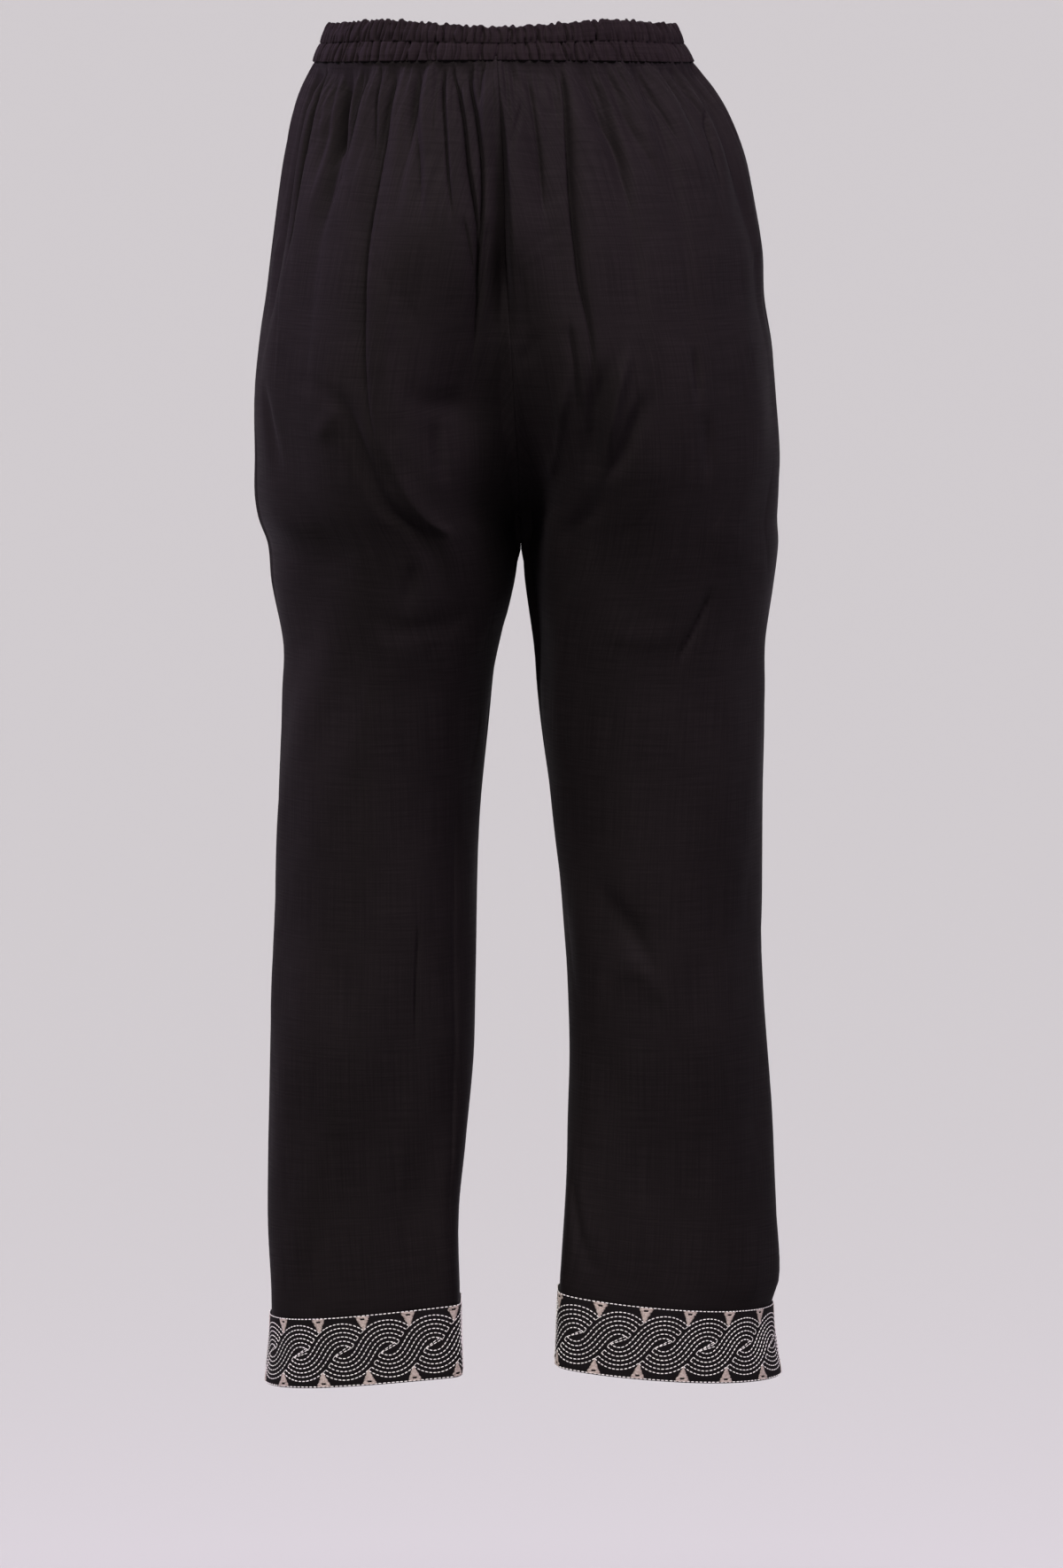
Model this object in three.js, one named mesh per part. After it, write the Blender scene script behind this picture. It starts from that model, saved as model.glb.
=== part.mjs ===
// Straight trousers with a gathered waistband and a band round each hem, in the hollow shape that they
// take when worn. Millimetres. +Z is up, the front faces -Y and the wearer's left is +X. The origin is the
// centre of the waist opening, at the height of the waistband's middle seam.
import * as THREE from 'three';

// Driving sizes
const clothWall = 1.5;
const seamGap = 0.3;
const waistbandTop = 13;
const waistbandFoot = -12;
const waistbandWall = 3;
const channelBulge = 1.4;
const waistbandLip = 0.3;
const crotchHeight = -330;
const hemBandWall = 2.2;
const hemBandProud = 0.4;

// Mesh density
const panelColumns = 16;
const torsoRows = 15;
const legRows = 10;
const waistbandSteps = 72;
const hemBandSteps = 32;
const legRowCrowding = 1.35;

// Sections of the upper part, from the waistband's top down to the crotch. left and right are the outline's
// sides, mid is the centre seam, back and front are the greatest depths, and parting says how far the section
// has divided into two legs: 0 is one oval and 1 is two ovals that just touch.
const torsoSections = [
  { z: 13, left: 121.5, right: -121.5, mid: 3, back: 94, front: -94, parting: 0 },
  { z: 0, left: 127, right: -127, mid: 3, back: 98, front: -98, parting: 0 },
  { z: -12, left: 132, right: -134, mid: 3, back: 102, front: -102, parting: 0 },
  { z: -30, left: 141, right: -148, mid: 2, back: 113, front: -111, parting: 0 },
  { z: -45, left: 146, right: -157, mid: 1, back: 121, front: -115, parting: 0 },
  { z: -70, left: 151, right: -167.5, mid: -1, back: 131, front: -119, parting: 0.02 },
  { z: -95, left: 155, right: -173.5, mid: -2, back: 139, front: -121, parting: 0.04 },
  { z: -140, left: 161, right: -181, mid: -3, back: 148, front: -122, parting: 0.09 },
  { z: -175, left: 165, right: -182, mid: -5, back: 151, front: -122, parting: 0.17 },
  { z: -210, left: 170, right: -188, mid: -7, back: 151, front: -121, parting: 0.3 },
  { z: -245, left: 173, right: -191, mid: -9, back: 146, front: -119, parting: 0.48 },
  { z: -285, left: 173, right: -194, mid: -11, back: 136, front: -116, parting: 0.73 },
  { z: -312, left: 173, right: -193, mid: -12, back: 127, front: -114, parting: 0.91 },
  { z: crotchHeight, left: 170, right: -192, mid: -13, back: 121, front: -112, parting: 1 },
];

// Sections of each leg below the crotch: outer and inner sides of the outline, and the greatest depths.
const leftLegSections = [
  { z: -348, outer: 163.5, inner: -12, back: 114, front: -110 },
  { z: -375, outer: 161.5, inner: -9, back: 105, front: -107 },
  { z: -420, outer: 154, inner: 3, back: 94, front: -102 },
  { z: -450, outer: 154.5, inner: 8, back: 88, front: -99 },
  { z: -530, outer: 157.5, inner: 15, back: 78, front: -92 },
  { z: -620, outer: 161, inner: 18, back: 74, front: -82 },
  { z: -700, outer: 164, inner: 20, back: 74, front: -72 },
  { z: -770, outer: 165.5, inner: 26, back: 68, front: -65 },
  { z: -820, outer: 166, inner: 31, back: 63, front: -60 },
  { z: -885, outer: 164, inner: 30, back: 59, front: -58 },
  { z: -940, outer: 168, inner: 28.5, back: 58, front: -58 },
];
const rightLegSections = [
  { z: -348, outer: -193, inner: -14, back: 114, front: -110 },
  { z: -375, outer: -190.5, inner: -15.5, back: 105, front: -107 },
  { z: -420, outer: -184.5, inner: -21.5, back: 93, front: -102 },
  { z: -450, outer: -184, inner: -24, back: 87, front: -99 },
  { z: -530, outer: -183, inner: -34, back: 77, front: -91 },
  { z: -620, outer: -182, inner: -43, back: 72, front: -80 },
  { z: -700, outer: -186.5, inner: -47, back: 71, front: -68 },
  { z: -770, outer: -191.5, inner: -46, back: 66, front: -56 },
  { z: -820, outer: -194.5, inner: -43.5, back: 64, front: -46 },
  { z: -860, outer: -196, inner: -41, back: 62, front: -36 },
  { z: -880, outer: -191, inner: -39.5, back: 61, front: -33 },
  { z: -932, outer: -197, inner: -37.5, back: 61, front: -32 },
];

// Where each leg's hem band starts and ends, and how far these edges rise towards the outer side and the back
const hemBands = {
  left: { top: -885.5, foot: -936, topToOuter: -6.7, footToOuter: -5.4, toBack: 1 },
  right: { top: -878.5, foot: -930.5, topToOuter: -8, footToOuter: -7, toBack: -2 },
};

// Down the lower leg the back flattens and its corners square up, towards these powers of a sine at the outer
// and inner seams, and the outer seam moves towards the front.
const hemShapes = {
  left: { outerTurn: -4, outerPower: 0.75, innerPower: 0.15 },
  right: { outerTurn: -22, outerPower: 0.95, innerPower: 0.3 },
};
const shapingStart = -480;
const shapingReach = 400;

// The waist rises a little at the centre back and dips at the centre front.
const waistRise = { back: 3, front: -10 };
const waistRiseReach = 110;
const hemTiltReach = 200;

// Below the crotch each leg's oval sharpens towards its inner seam, by this much on a sine's power
const innerSharpness = 0.4;
const sharpeningReach = 300;

// The largest gathers and creases, each a soft trough from its head to its foot. across runs over a panel
// from the outer seam at 0 to the centre seam or inner seam at 1, width is half the trough's breadth and bow
// is how far its middle swings towards the centre.
const chartWidth = 260;
const folds = {
  back_left: [
    { head: -14, foot: -145, acrossHead: 0.22, acrossFoot: 0.26, bow: 4, width: 15, depth: 6 },
    { head: -14, foot: -92, acrossHead: 0.44, acrossFoot: 0.47, bow: 0, width: 13, depth: 4 },
    { head: -14, foot: -258, acrossHead: 0.65, acrossFoot: 0.59, bow: -4, width: 17, depth: 7 },
    { head: -14, foot: -225, acrossHead: 0.89, acrossFoot: 0.9, bow: 8, width: 18, depth: 6 },
    { head: -222, foot: -360, acrossHead: 0.33, acrossFoot: 0.58, bow: 18, width: 18, depth: 4 },
  ],
  back_right: [
    { head: -22, foot: -100, acrossHead: 0.16, acrossFoot: 0.33, bow: 8, width: 15, depth: 6 },
    { head: -14, foot: -66, acrossHead: 0.45, acrossFoot: 0.44, bow: 2, width: 13, depth: 4 },
    { head: -14, foot: -112, acrossHead: 0.62, acrossFoot: 0.54, bow: 4, width: 15, depth: 5 },
    { head: -14, foot: -226, acrossHead: 0.79, acrossFoot: 0.785, bow: 8, width: 15, depth: 8 },
    { head: -206, foot: -282, acrossHead: 0.69, acrossFoot: 0.735, bow: 2, width: 15, depth: 4 },
    { head: -380, foot: -438, acrossHead: 0.34, acrossFoot: 0.45, bow: 2, width: 17, depth: 4 },
  ],
  front_left: [
    { head: -20, foot: -120, acrossHead: 0.24, acrossFoot: 0.29, bow: 5, width: 15, depth: 5 },
    { head: -20, foot: -178, acrossHead: 0.48, acrossFoot: 0.44, bow: 3, width: 16, depth: 6 },
    { head: -22, foot: -104, acrossHead: 0.7, acrossFoot: 0.72, bow: 0, width: 14, depth: 5 },
    { head: -24, foot: -150, acrossHead: 0.88, acrossFoot: 0.86, bow: 4, width: 15, depth: 5 },
    { head: -292, foot: -372, acrossHead: 0.86, acrossFoot: 0.52, bow: -12, width: 17, depth: 5 },
  ],
  front_right: [
    { head: -20, foot: -96, acrossHead: 0.27, acrossFoot: 0.31, bow: 4, width: 14, depth: 5 },
    { head: -20, foot: -150, acrossHead: 0.46, acrossFoot: 0.44, bow: 4, width: 16, depth: 5 },
    { head: -22, foot: -196, acrossHead: 0.67, acrossFoot: 0.64, bow: 3, width: 16, depth: 6 },
    { head: -24, foot: -118, acrossHead: 0.89, acrossFoot: 0.88, bow: 3, width: 14, depth: 5 },
    { head: -292, foot: -366, acrossHead: 0.85, acrossFoot: 0.54, bow: -10, width: 18, depth: 4 },
  ],
};
const foldFade = 0.22; // the share of a fold's length over which each end fades out
const seamCalm = 9; // no fold reaches a long seam, and this is how far from it they calm down

// Slope of a column of the section table at row k, from the rows on either side of it
function slopeAt(rows, column, k) {
  const above = rows[Math.max(k - 1, 0)];
  const below = rows[Math.min(k + 1, rows.length - 1)];
  return (above[column] - below[column]) / (above.z - below.z);
}

// A column's value at height z, on a smooth curve through the rows
function readColumn(rows, column, z) {
  const last = rows.length - 2;
  const found = rows.findIndex((row, k) => k > 0 && z >= row.z) - 1;
  const k = found < 0 ? (z > rows[0].z ? 0 : last) : found;
  const span = rows[k + 1].z - rows[k].z;
  const s = THREE.MathUtils.clamp((z - rows[k].z) / span, 0, 1);
  const start = rows[k][column];
  const end = rows[k + 1][column];
  const startSlope = slopeAt(rows, column, k) * span;
  const endSlope = slopeAt(rows, column, k + 1) * span;
  const s2 = s * s;
  const s3 = s2 * s;
  return start * (2 * s3 - 3 * s2 + 1) + startSlope * (s3 - 2 * s2 + s)
    + end * (3 * s2 - 2 * s3) + endSlope * (s3 - s2);
}

// One leg's rows from waist to hem, measured outwards from the centre seam, so both legs read alike
function legTable(side, outerColumn, legSections) {
  const torso = torsoSections.map((row) => {
    const outer = side * (row[outerColumn] - row.mid);
    const inner = outer * (row.parting - 1) / (row.parting + 1);
    return { z: row.z, mid: row.mid, outer, inner, back: row.back, front: row.front };
  });
  const mid = torso[torso.length - 1].mid;
  const leg = legSections.map((row) => {
    const outer = side * (row.outer - mid);
    const inner = side * (row.inner - mid);
    return { z: row.z, mid, outer, inner, back: row.back, front: row.front };
  });
  return [...torso, ...leg];
}

const leftRows = legTable(1, 'left', leftLegSections);
const rightRows = legTable(-1, 'right', rightLegSections);
const legs = {
  left: { side: 1, rows: leftRows, bands: hemBands.left, hem: hemShapes.left },
  right: { side: -1, rows: rightRows, bands: hemBands.right, hem: hemShapes.right },
};

// The oval of one leg at height z: its centre and half sizes, and the angle at which it meets the centre
// seam. Angles run from the outer side, through the back if positive and through the front if negative.
function ovalAt(leg, z) {
  const outer = readColumn(leg.rows, 'outer', z);
  const inner = readColumn(leg.rows, 'inner', z);
  const back = readColumn(leg.rows, 'back', z);
  const front = readColumn(leg.rows, 'front', z);
  const centre = (outer + inner) / 2;
  const halfWidth = (outer - inner) / 2;
  const end = centre < halfWidth ? Math.acos(-centre / halfWidth) : Math.PI;
  const mid = readColumn(leg.rows, 'mid', z);
  const sharpness = innerSharpness * THREE.MathUtils.smoothstep(crotchHeight - z, 0, sharpeningReach);
  const middleY = (back + front) / 2;
  const halfDepth = (back - front) / 2;
  return { mid, centre, halfWidth, end, sharpness, middleY, halfDepth };
}

// Rise or fall of the cloth's edges: the waist curves at back and front, and the hem bands tilt slightly
function levelShift(leg, z, angle) {
  const rise = (angle > 0 ? waistRise.back : waistRise.front) * Math.sin(angle) ** 2;
  const nearWaist = 1 - THREE.MathUtils.smoothstep(waistbandFoot - z, 0, waistRiseReach);
  const { top, foot, topToOuter, footToOuter, toBack } = leg.bands;
  const nearHem = THREE.MathUtils.smoothstep(top + hemTiltReach - z, 0, hemTiltReach);
  const withinBand = THREE.MathUtils.clamp(z, foot, top);
  const toOuter = THREE.MathUtils.mapLinear(withinBand, top, foot, topToOuter, footToOuter);
  return rise * nearWaist + nearHem * (toOuter * Math.cos(angle) + toBack * Math.sin(angle));
}

// How far the lower leg has taken its hem's shape at height z
const shapedAt = (z) => THREE.MathUtils.smoothstep(shapingStart - z, 0, shapingReach);

// The line from a leg's outer seam to its inner seam, which divides back from front
function dividingY(leg, oval, angle, z) {
  const nearOuter = (1 + Math.cos(angle)) / 2;
  return oval.middleY + shapedAt(z) * leg.hem.outerTurn * nearOuter ** 2;
}

// A point of the smooth surface at an angle and height, without folds
function surfacePoint(leg, angle, z) {
  const oval = ovalAt(leg, z);
  const outwards = oval.centre + oval.halfWidth * Math.cos(angle);
  const nearInner = (1 - Math.cos(angle)) / 2;
  const plainPower = 1 + oval.sharpness * nearInner;
  const hemPower = THREE.MathUtils.lerp(leg.hem.outerPower, leg.hem.innerPower, nearInner);
  const power = angle > 0 ? THREE.MathUtils.lerp(plainPower, hemPower, shapedAt(z)) : plainPower;
  const bulge = oval.halfDepth * Math.sign(angle) * Math.abs(Math.sin(angle)) ** power;
  const y = dividingY(leg, oval, angle, z) + bulge;
  return new THREE.Vector3(oval.mid + leg.side * outwards, y, z + levelShift(leg, z, angle));
}

// How deep the folds press in at a place on a panel. Each trough is a bell curve across its own line, which
// fades out at head and foot, and all of them calm down towards the panel's two long seams.
function foldDepth(panelFolds, across, z) {
  const x = across * chartWidth;
  const calm = THREE.MathUtils.smoothstep(Math.min(x, chartWidth - x), 0, seamCalm);
  return calm * panelFolds.reduce((sum, fold) => {
    const startX = fold.acrossHead * chartWidth;
    const run = fold.acrossFoot * chartWidth - startX;
    const drop = fold.foot - fold.head;
    const reached = ((x - startX) * run + (z - fold.head) * drop) / (run ** 2 + drop ** 2);
    const along = THREE.MathUtils.clamp(reached, 0, 1);
    const swing = fold.bow * 4 * along * (1 - along);
    const away = Math.hypot(x - startX - run * along - swing, z - fold.head - drop * along);
    const fade = THREE.MathUtils.smoothstep(Math.min(along, 1 - along), 0, foldFade);
    return sum + fold.depth * fade * Math.exp(-((away / fold.width) ** 2));
  }, 0);
}

// One closed shell from two matching grids of points: its outer face, its inner face and its four edges
function shellFromGrids(outer, inner) {
  const rows = outer.length;
  const columns = outer[0].length;
  const positions = [...outer.flat(), ...inner.flat()].flatMap((point) => point.toArray());
  const outside = (i, j) => i * columns + j;
  const inside = (i, j) => rows * columns + i * columns + j;
  const triangles = [];
  const quad = (a, b, c, d) => triangles.push(a, b, c, a, c, d);
  for (let i = 0; i + 1 < rows; i += 1) {
    for (let j = 0; j + 1 < columns; j += 1) {
      quad(outside(i, j), outside(i + 1, j), outside(i + 1, j + 1), outside(i, j + 1));
      quad(inside(i, j), inside(i, j + 1), inside(i + 1, j + 1), inside(i + 1, j));
    }
    quad(outside(i, 0), inside(i, 0), inside(i + 1, 0), outside(i + 1, 0));
    const last = columns - 1;
    quad(outside(i + 1, last), inside(i + 1, last), inside(i, last), outside(i, last));
  }
  for (let j = 0; j + 1 < columns; j += 1) {
    quad(outside(0, j), outside(0, j + 1), inside(0, j + 1), inside(0, j));
    quad(outside(rows - 1, j), inside(rows - 1, j), inside(rows - 1, j + 1), outside(rows - 1, j + 1));
  }
  return closedGeometry(positions, triangles);
}

// A ring from a list of profiles, one at each step round it, with the last joined to the first
function ringFromProfiles(profiles) {
  const count = profiles[0].length;
  const positions = profiles.flat().flatMap((point) => point.toArray());
  const triangles = [];
  profiles.forEach((profile, i) => {
    const next = (i + 1) % profiles.length;
    profile.forEach((point, j) => {
      const a = i * count + j;
      const b = i * count + (j + 1) % count;
      const c = next * count + (j + 1) % count;
      const d = next * count + j;
      triangles.push(a, b, c, a, c, d);
    });
  });
  return closedGeometry(positions, triangles);
}

// Geometry with its faces turned outwards: a negative volume means that every triangle has to be reversed
function closedGeometry(positions, triangles) {
  const corner = (k) => new THREE.Vector3().fromArray(positions, 3 * triangles[k]);
  let volume = 0;
  for (let k = 0; k < triangles.length; k += 3) {
    volume += corner(k).dot(corner(k + 1).cross(corner(k + 2)));
  }
  const geometry = new THREE.BufferGeometry();
  geometry.setAttribute('position', new THREE.Float32BufferAttribute(positions, 3));
  geometry.setIndex(volume > 0 ? triangles : triangles.reverse());
  geometry.computeVertexNormals();
  return geometry;
}

// Heights of a panel's rows: close together at the waist and at the curve of the crotch, wider down the leg
function panelRows(leg) {
  const head = waistbandFoot - seamGap / 2;
  const foot = leg.bands.top + seamGap / 2;
  const rows = [];
  for (let k = 0; k < torsoRows; k += 1) {
    rows.push(THREE.MathUtils.lerp(head, crotchHeight, (1 - Math.cos(Math.PI * k / torsoRows)) / 2));
  }
  for (let k = 0; k <= legRows; k += 1) {
    rows.push(THREE.MathUtils.lerp(crotchHeight, foot, (k / legRows) ** legRowCrowding));
  }
  return rows;
}

// Outward direction of the smooth surface, square to two short steps along it
const step = 0.01;
function surfaceNormal(leg, towards, across, z) {
  const at = (share, height) => surfacePoint(leg, towards * share * ovalAt(leg, height).end, height);
  const along = at(Math.min(across + step, 1), z).sub(at(Math.max(across - step, 0), z));
  const down = at(across, z - step).sub(at(across, z + step));
  const normal = along.cross(down).normalize();
  const angle = towards * across * ovalAt(leg, z).end;
  const away = new THREE.Vector3(leg.side * Math.cos(angle), Math.sin(angle), 0);
  return normal.dot(away) < 0 ? normal.negate() : normal;
}

// A back panel if towards is 1, or a front panel if it is -1. Both faces stay half a seam gap clear of the
// centre seam, and of the outer and inner seams where front meets back.
function legPanel(leg, towards, panelFolds) {
  const clear = seamGap / 2;
  const keepClear = (point, angle, z) => {
    const oval = ovalAt(leg, z);
    const divide = dividingY(leg, oval, angle, z);
    const fromCentre = Math.max(leg.side * (point.x - oval.mid), clear);
    const fromDivide = Math.max(towards * (point.y - divide), clear);
    return point.set(oval.mid + leg.side * fromCentre, divide + towards * fromDivide, point.z);
  };
  const outer = [];
  const inner = [];
  panelRows(leg).forEach((z) => {
    const outerRow = [];
    const innerRow = [];
    for (let j = 0; j <= panelColumns; j += 1) {
      const across = j / panelColumns;
      const angle = towards * across * ovalAt(leg, z).end;
      const normal = surfaceNormal(leg, towards, across, z);
      const folded = surfacePoint(leg, angle, z).addScaledVector(normal, -foldDepth(panelFolds, across, z));
      outerRow.push(keepClear(folded.clone(), angle, z));
      innerRow.push(keepClear(folded.addScaledVector(normal, -clothWall), angle, z));
    }
    outer.push(outerRow);
    inner.push(innerRow);
  });
  return shellFromGrids(outer, inner);
}

// The gathered waistband: a ring with a drawn-in seam along its middle, between two rounded channels
function waistbandRing() {
  const middle = (waistbandTop + waistbandFoot) / 2;
  const foot = waistbandFoot + seamGap / 2;
  const outline = [
    { z: foot, out: 0 },
    { z: (foot + middle) / 2, out: channelBulge },
    { z: middle, out: 0 },
    { z: (middle + waistbandTop) / 2, out: channelBulge },
    { z: waistbandTop, out: waistbandLip },
    { z: waistbandTop, out: -waistbandWall },
    { z: middle, out: -waistbandWall },
    { z: foot, out: -waistbandWall },
  ];
  const profiles = [];
  for (let k = 0; k < waistbandSteps; k += 1) {
    const turn = (k / waistbandSteps) * 2 * Math.PI;
    const away = new THREE.Vector3(Math.cos(turn), Math.sin(turn), 0);
    const leg = away.x >= 0 ? legs.left : legs.right;
    const angle = Math.atan2(away.y, leg.side * away.x);
    profiles.push(outline.map(({ z, out }) => surfacePoint(leg, angle, z).addScaledVector(away, out)));
  }
  return ringFromProfiles(profiles);
}

// The band round one hem, a little thicker than the leg above it
function hemBandRing(leg) {
  const { top, foot } = leg.bands;
  const middle = (top + foot) / 2;
  const outline = [
    { z: foot, out: hemBandProud },
    { z: middle, out: hemBandProud },
    { z: top - seamGap / 2, out: hemBandProud },
    { z: top - seamGap / 2, out: hemBandProud - hemBandWall },
    { z: middle, out: hemBandProud - hemBandWall },
    { z: foot, out: hemBandProud - hemBandWall },
  ];
  const profiles = [];
  for (let k = 0; k < hemBandSteps; k += 1) {
    const angle = Math.PI - (k / hemBandSteps) * 2 * Math.PI;
    const across = Math.abs(angle) / Math.PI;
    const away = surfaceNormal(leg, angle > 0 ? 1 : -1, across, middle).setZ(0).normalize();
    profiles.push(outline.map(({ z, out }) => surfacePoint(leg, angle, z).addScaledVector(away, out)));
  }
  return ringFromProfiles(profiles);
}

const blackCotton = new THREE.MeshStandardMaterial({
  name: 'blackCotton', color: 0x1d1a1d, roughness: 0.85, metalness: 0, side: THREE.FrontSide,
});
const bandCotton = new THREE.MeshStandardMaterial({
  name: 'bandCotton', color: 0x1a171a, roughness: 0.88, metalness: 0, side: THREE.FrontSide,
});

const trousers = new THREE.Group();
function addPiece(name, geometry, material) {
  const piece = new THREE.Mesh(geometry, material);
  piece.name = name;
  trousers.add(piece);
}

addPiece('waistband', waistbandRing(), bandCotton);
Object.entries(legs).forEach(([name, leg]) => {
  addPiece(`back_${name}`, legPanel(leg, 1, folds[`back_${name}`]), blackCotton);
  addPiece(`front_${name}`, legPanel(leg, -1, folds[`front_${name}`]), blackCotton);
  addPiece(`cuff_${name}`, hemBandRing(leg), bandCotton);
});

export default trousers;
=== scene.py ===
# Straight black cotton trousers in the shape of wear: a gathered waistband, four leg panels and a hem band
# round each leg, worked with a rope pattern in running stitch. Sizes are millimetres until a mesh is made.
import bpy
import numpy as np
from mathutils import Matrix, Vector


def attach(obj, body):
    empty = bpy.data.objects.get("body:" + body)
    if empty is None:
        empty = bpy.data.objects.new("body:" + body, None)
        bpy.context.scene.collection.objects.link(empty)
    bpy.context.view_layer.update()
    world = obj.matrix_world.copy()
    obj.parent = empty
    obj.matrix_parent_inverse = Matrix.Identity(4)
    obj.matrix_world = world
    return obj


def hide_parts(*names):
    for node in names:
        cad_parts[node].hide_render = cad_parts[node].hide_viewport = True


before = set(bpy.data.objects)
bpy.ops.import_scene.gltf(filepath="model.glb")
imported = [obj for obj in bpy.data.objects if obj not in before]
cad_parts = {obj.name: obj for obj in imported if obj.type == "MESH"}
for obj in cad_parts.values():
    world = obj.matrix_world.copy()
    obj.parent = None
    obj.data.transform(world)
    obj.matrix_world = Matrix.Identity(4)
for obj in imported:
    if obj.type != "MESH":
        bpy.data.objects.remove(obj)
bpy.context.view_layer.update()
scene = bpy.context.scene
print("frame loaded:", len(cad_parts), "nodes")

# The camera looks along -y at the trousers' back. Here and in the studio, places and sizes are in metres.
view = {"place": (-0.0204, 5.5, 0.100), "target": (-0.0204, 0.0, -0.517), "lens": 181.0, "farthest": 1000.0}
studio = {
    "floorHeight": -1.45, "floorRadius": 400.0, "floorColour": "#a6a5aa",
    # a darker patch below the trousers: from its inner radius to its outer one it fades into the floor
    "floorDark": {"colour": "#575456", "inner": 0.5, "outer": 1.9},
    "horizonColour": "#d0cbcf", "skyColour": "#37353a", "horizonBand": (0.02, 0.2),
    # name: direction it comes from, strength, angle it spreads over in degrees, colour
    "suns": {
        "key": ((0.68, 1.0, 1.3), 3.2, 18, "#fffaf6"),
        "back": ((-0.55, 1.0, 1.3), 1.6, 30, "#fffaf6"),
        "sideLeft": ((1.0, -0.4, 0.1), 0.4, 24, "#f2ebff"),
        "sideRight": ((-1.0, -0.4, 0.1), 0.5, 24, "#f2ebff"),
        "front": ((-0.1, -1.0, 0.9), 2.2, 36, "#fffaf6"),
    },
    # name: place, aim, size, power in watts, colour
    "lamps": {
        "leftLamp": ((1.15, -0.2, 0.7), (0.05, 0.0, -0.08), 0.2, 24.0, "#f0d2ff"),
        "rightLamp": ((-0.8, 0.7, 1.0), (-0.14, 0.1, -0.2), 0.6, 23.0, "#f3d8fa"),
    },
}


def linearColour(text, alpha=1.0):
    # sRGB hex to linear: divided by 12.92 near black, otherwise raised to the power 2.4
    parts = np.array([int(text[k:k + 2], 16) for k in (1, 3, 5)]) / 255
    linear = np.where(parts <= 0.04045, parts / 12.92, ((parts + 0.055) / 1.055) ** 2.4)
    return (*linear.tolist(), alpha)


def pointAt(item, place, target):
    # puts a lamp or camera at a place, with its -z axis towards a target
    item.location = place
    item.rotation_euler = (Vector(target) - Vector(place)).to_track_quat("-Z", "Y").to_euler()


def addNode(tree, kind, inputs=None, **settings):
    # adds a node, sets its properties, then sets each input to a value or links it to a socket
    node = tree.nodes.new(kind)
    for name, value in settings.items():
        setattr(node, name, value)
    for name, value in (inputs or {}).items():
        if isinstance(value, bpy.types.NodeSocket):
            tree.links.new(value, node.inputs[name])
        else:
            node.inputs[name].default_value = value
    return node


def newMaterial(name):
    material = bpy.data.materials.new(name)
    material.use_nodes = True
    material.node_tree.nodes.clear()
    return material, material.node_tree


camera = bpy.data.objects.new("camera", bpy.data.cameras.new("camera"))
scene.collection.objects.link(camera)
camera.data.lens = view["lens"]
camera.data.clip_end = view["farthest"]
pointAt(camera, view["place"], view["target"])
scene.camera = camera
scene.view_settings.view_transform = "Standard"

world = bpy.data.worlds.new("paleStudio")
world.use_nodes = True
scene.world = world
world.node_tree.nodes.clear()
# paler at the horizon and dimmer overhead
bandFoot, bandTop = studio["horizonBand"]
direction = addNode(world.node_tree, "ShaderNodeTexCoord").outputs["Generated"]
height = addNode(world.node_tree, "ShaderNodeSeparateXYZ", {"Vector": direction}).outputs["Z"]
rise = addNode(world.node_tree, "ShaderNodeMapRange", {
    "Value": height, "From Min": bandFoot, "From Max": bandTop}, interpolation_type="SMOOTHSTEP").outputs[0]
sky = addNode(world.node_tree, "ShaderNodeMix", {
    "Factor": rise, "A": linearColour(studio["horizonColour"]), "B": linearColour(studio["skyColour"])},
    data_type="RGBA").outputs["Result"]
backdrop = addNode(world.node_tree, "ShaderNodeBackground", {"Color": sky})
addNode(world.node_tree, "ShaderNodeOutputWorld", {"Surface": backdrop.outputs[0]})

for name, (source, strength, spread, colour) in studio["suns"].items():
    lamp = bpy.data.objects.new(name, bpy.data.lights.new(name, "SUN"))
    lamp.data.energy = strength
    lamp.data.angle = np.radians(spread)
    lamp.data.color = linearColour(colour)[:3]
    pointAt(lamp, source, (0, 0, 0))
    scene.collection.objects.link(lamp)

for name, (place, aim, size, watts, colour) in studio["lamps"].items():
    lamp = bpy.data.objects.new(name, bpy.data.lights.new(name, "AREA"))
    lamp.data.shape = "DISK"
    lamp.data.size = size
    lamp.data.energy = watts
    lamp.data.color = linearColour(colour)[:3]
    pointAt(lamp, place, aim)
    scene.collection.objects.link(lamp)

floorMaterial, tree = newMaterial("matt_studio_paper")
patch = studio["floorDark"]
place = addNode(tree, "ShaderNodeNewGeometry").outputs["Position"]
flatPlace = addNode(tree, "ShaderNodeVectorMath", {0: place, 1: (1.0, 1.0, 0.0)}, operation="MULTIPLY")
fromCentre = addNode(tree, "ShaderNodeVectorMath", {0: flatPlace.outputs["Vector"]}, operation="LENGTH")
outside = addNode(tree, "ShaderNodeMapRange", {
    "Value": fromCentre.outputs["Value"], "From Min": patch["inner"], "From Max": patch["outer"]},
    interpolation_type="SMOOTHSTEP").outputs["Result"]
paper = addNode(tree, "ShaderNodeMix", {"Factor": outside, "A": linearColour(patch["colour"]),
                "B": linearColour(studio["floorColour"])}, data_type="RGBA").outputs["Result"]
shader = addNode(tree, "ShaderNodeBsdfDiffuse", {"Color": paper})
addNode(tree, "ShaderNodeOutputMaterial", {"Surface": shader.outputs[0]})
reach = studio["floorRadius"]
corners = [(-reach, -reach), (reach, -reach), (reach, reach), (-reach, reach)]
floorMesh = bpy.data.meshes.new("floor")
floorMesh.from_pydata([(x, y, studio["floorHeight"]) for x, y in corners], [], [(0, 1, 2, 3)])
floorMesh.materials.append(floorMaterial)
floor = bpy.data.objects.new("floor", floorMesh)
scene.collection.objects.link(floor)
print("camera, floor and lamps set")

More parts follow.
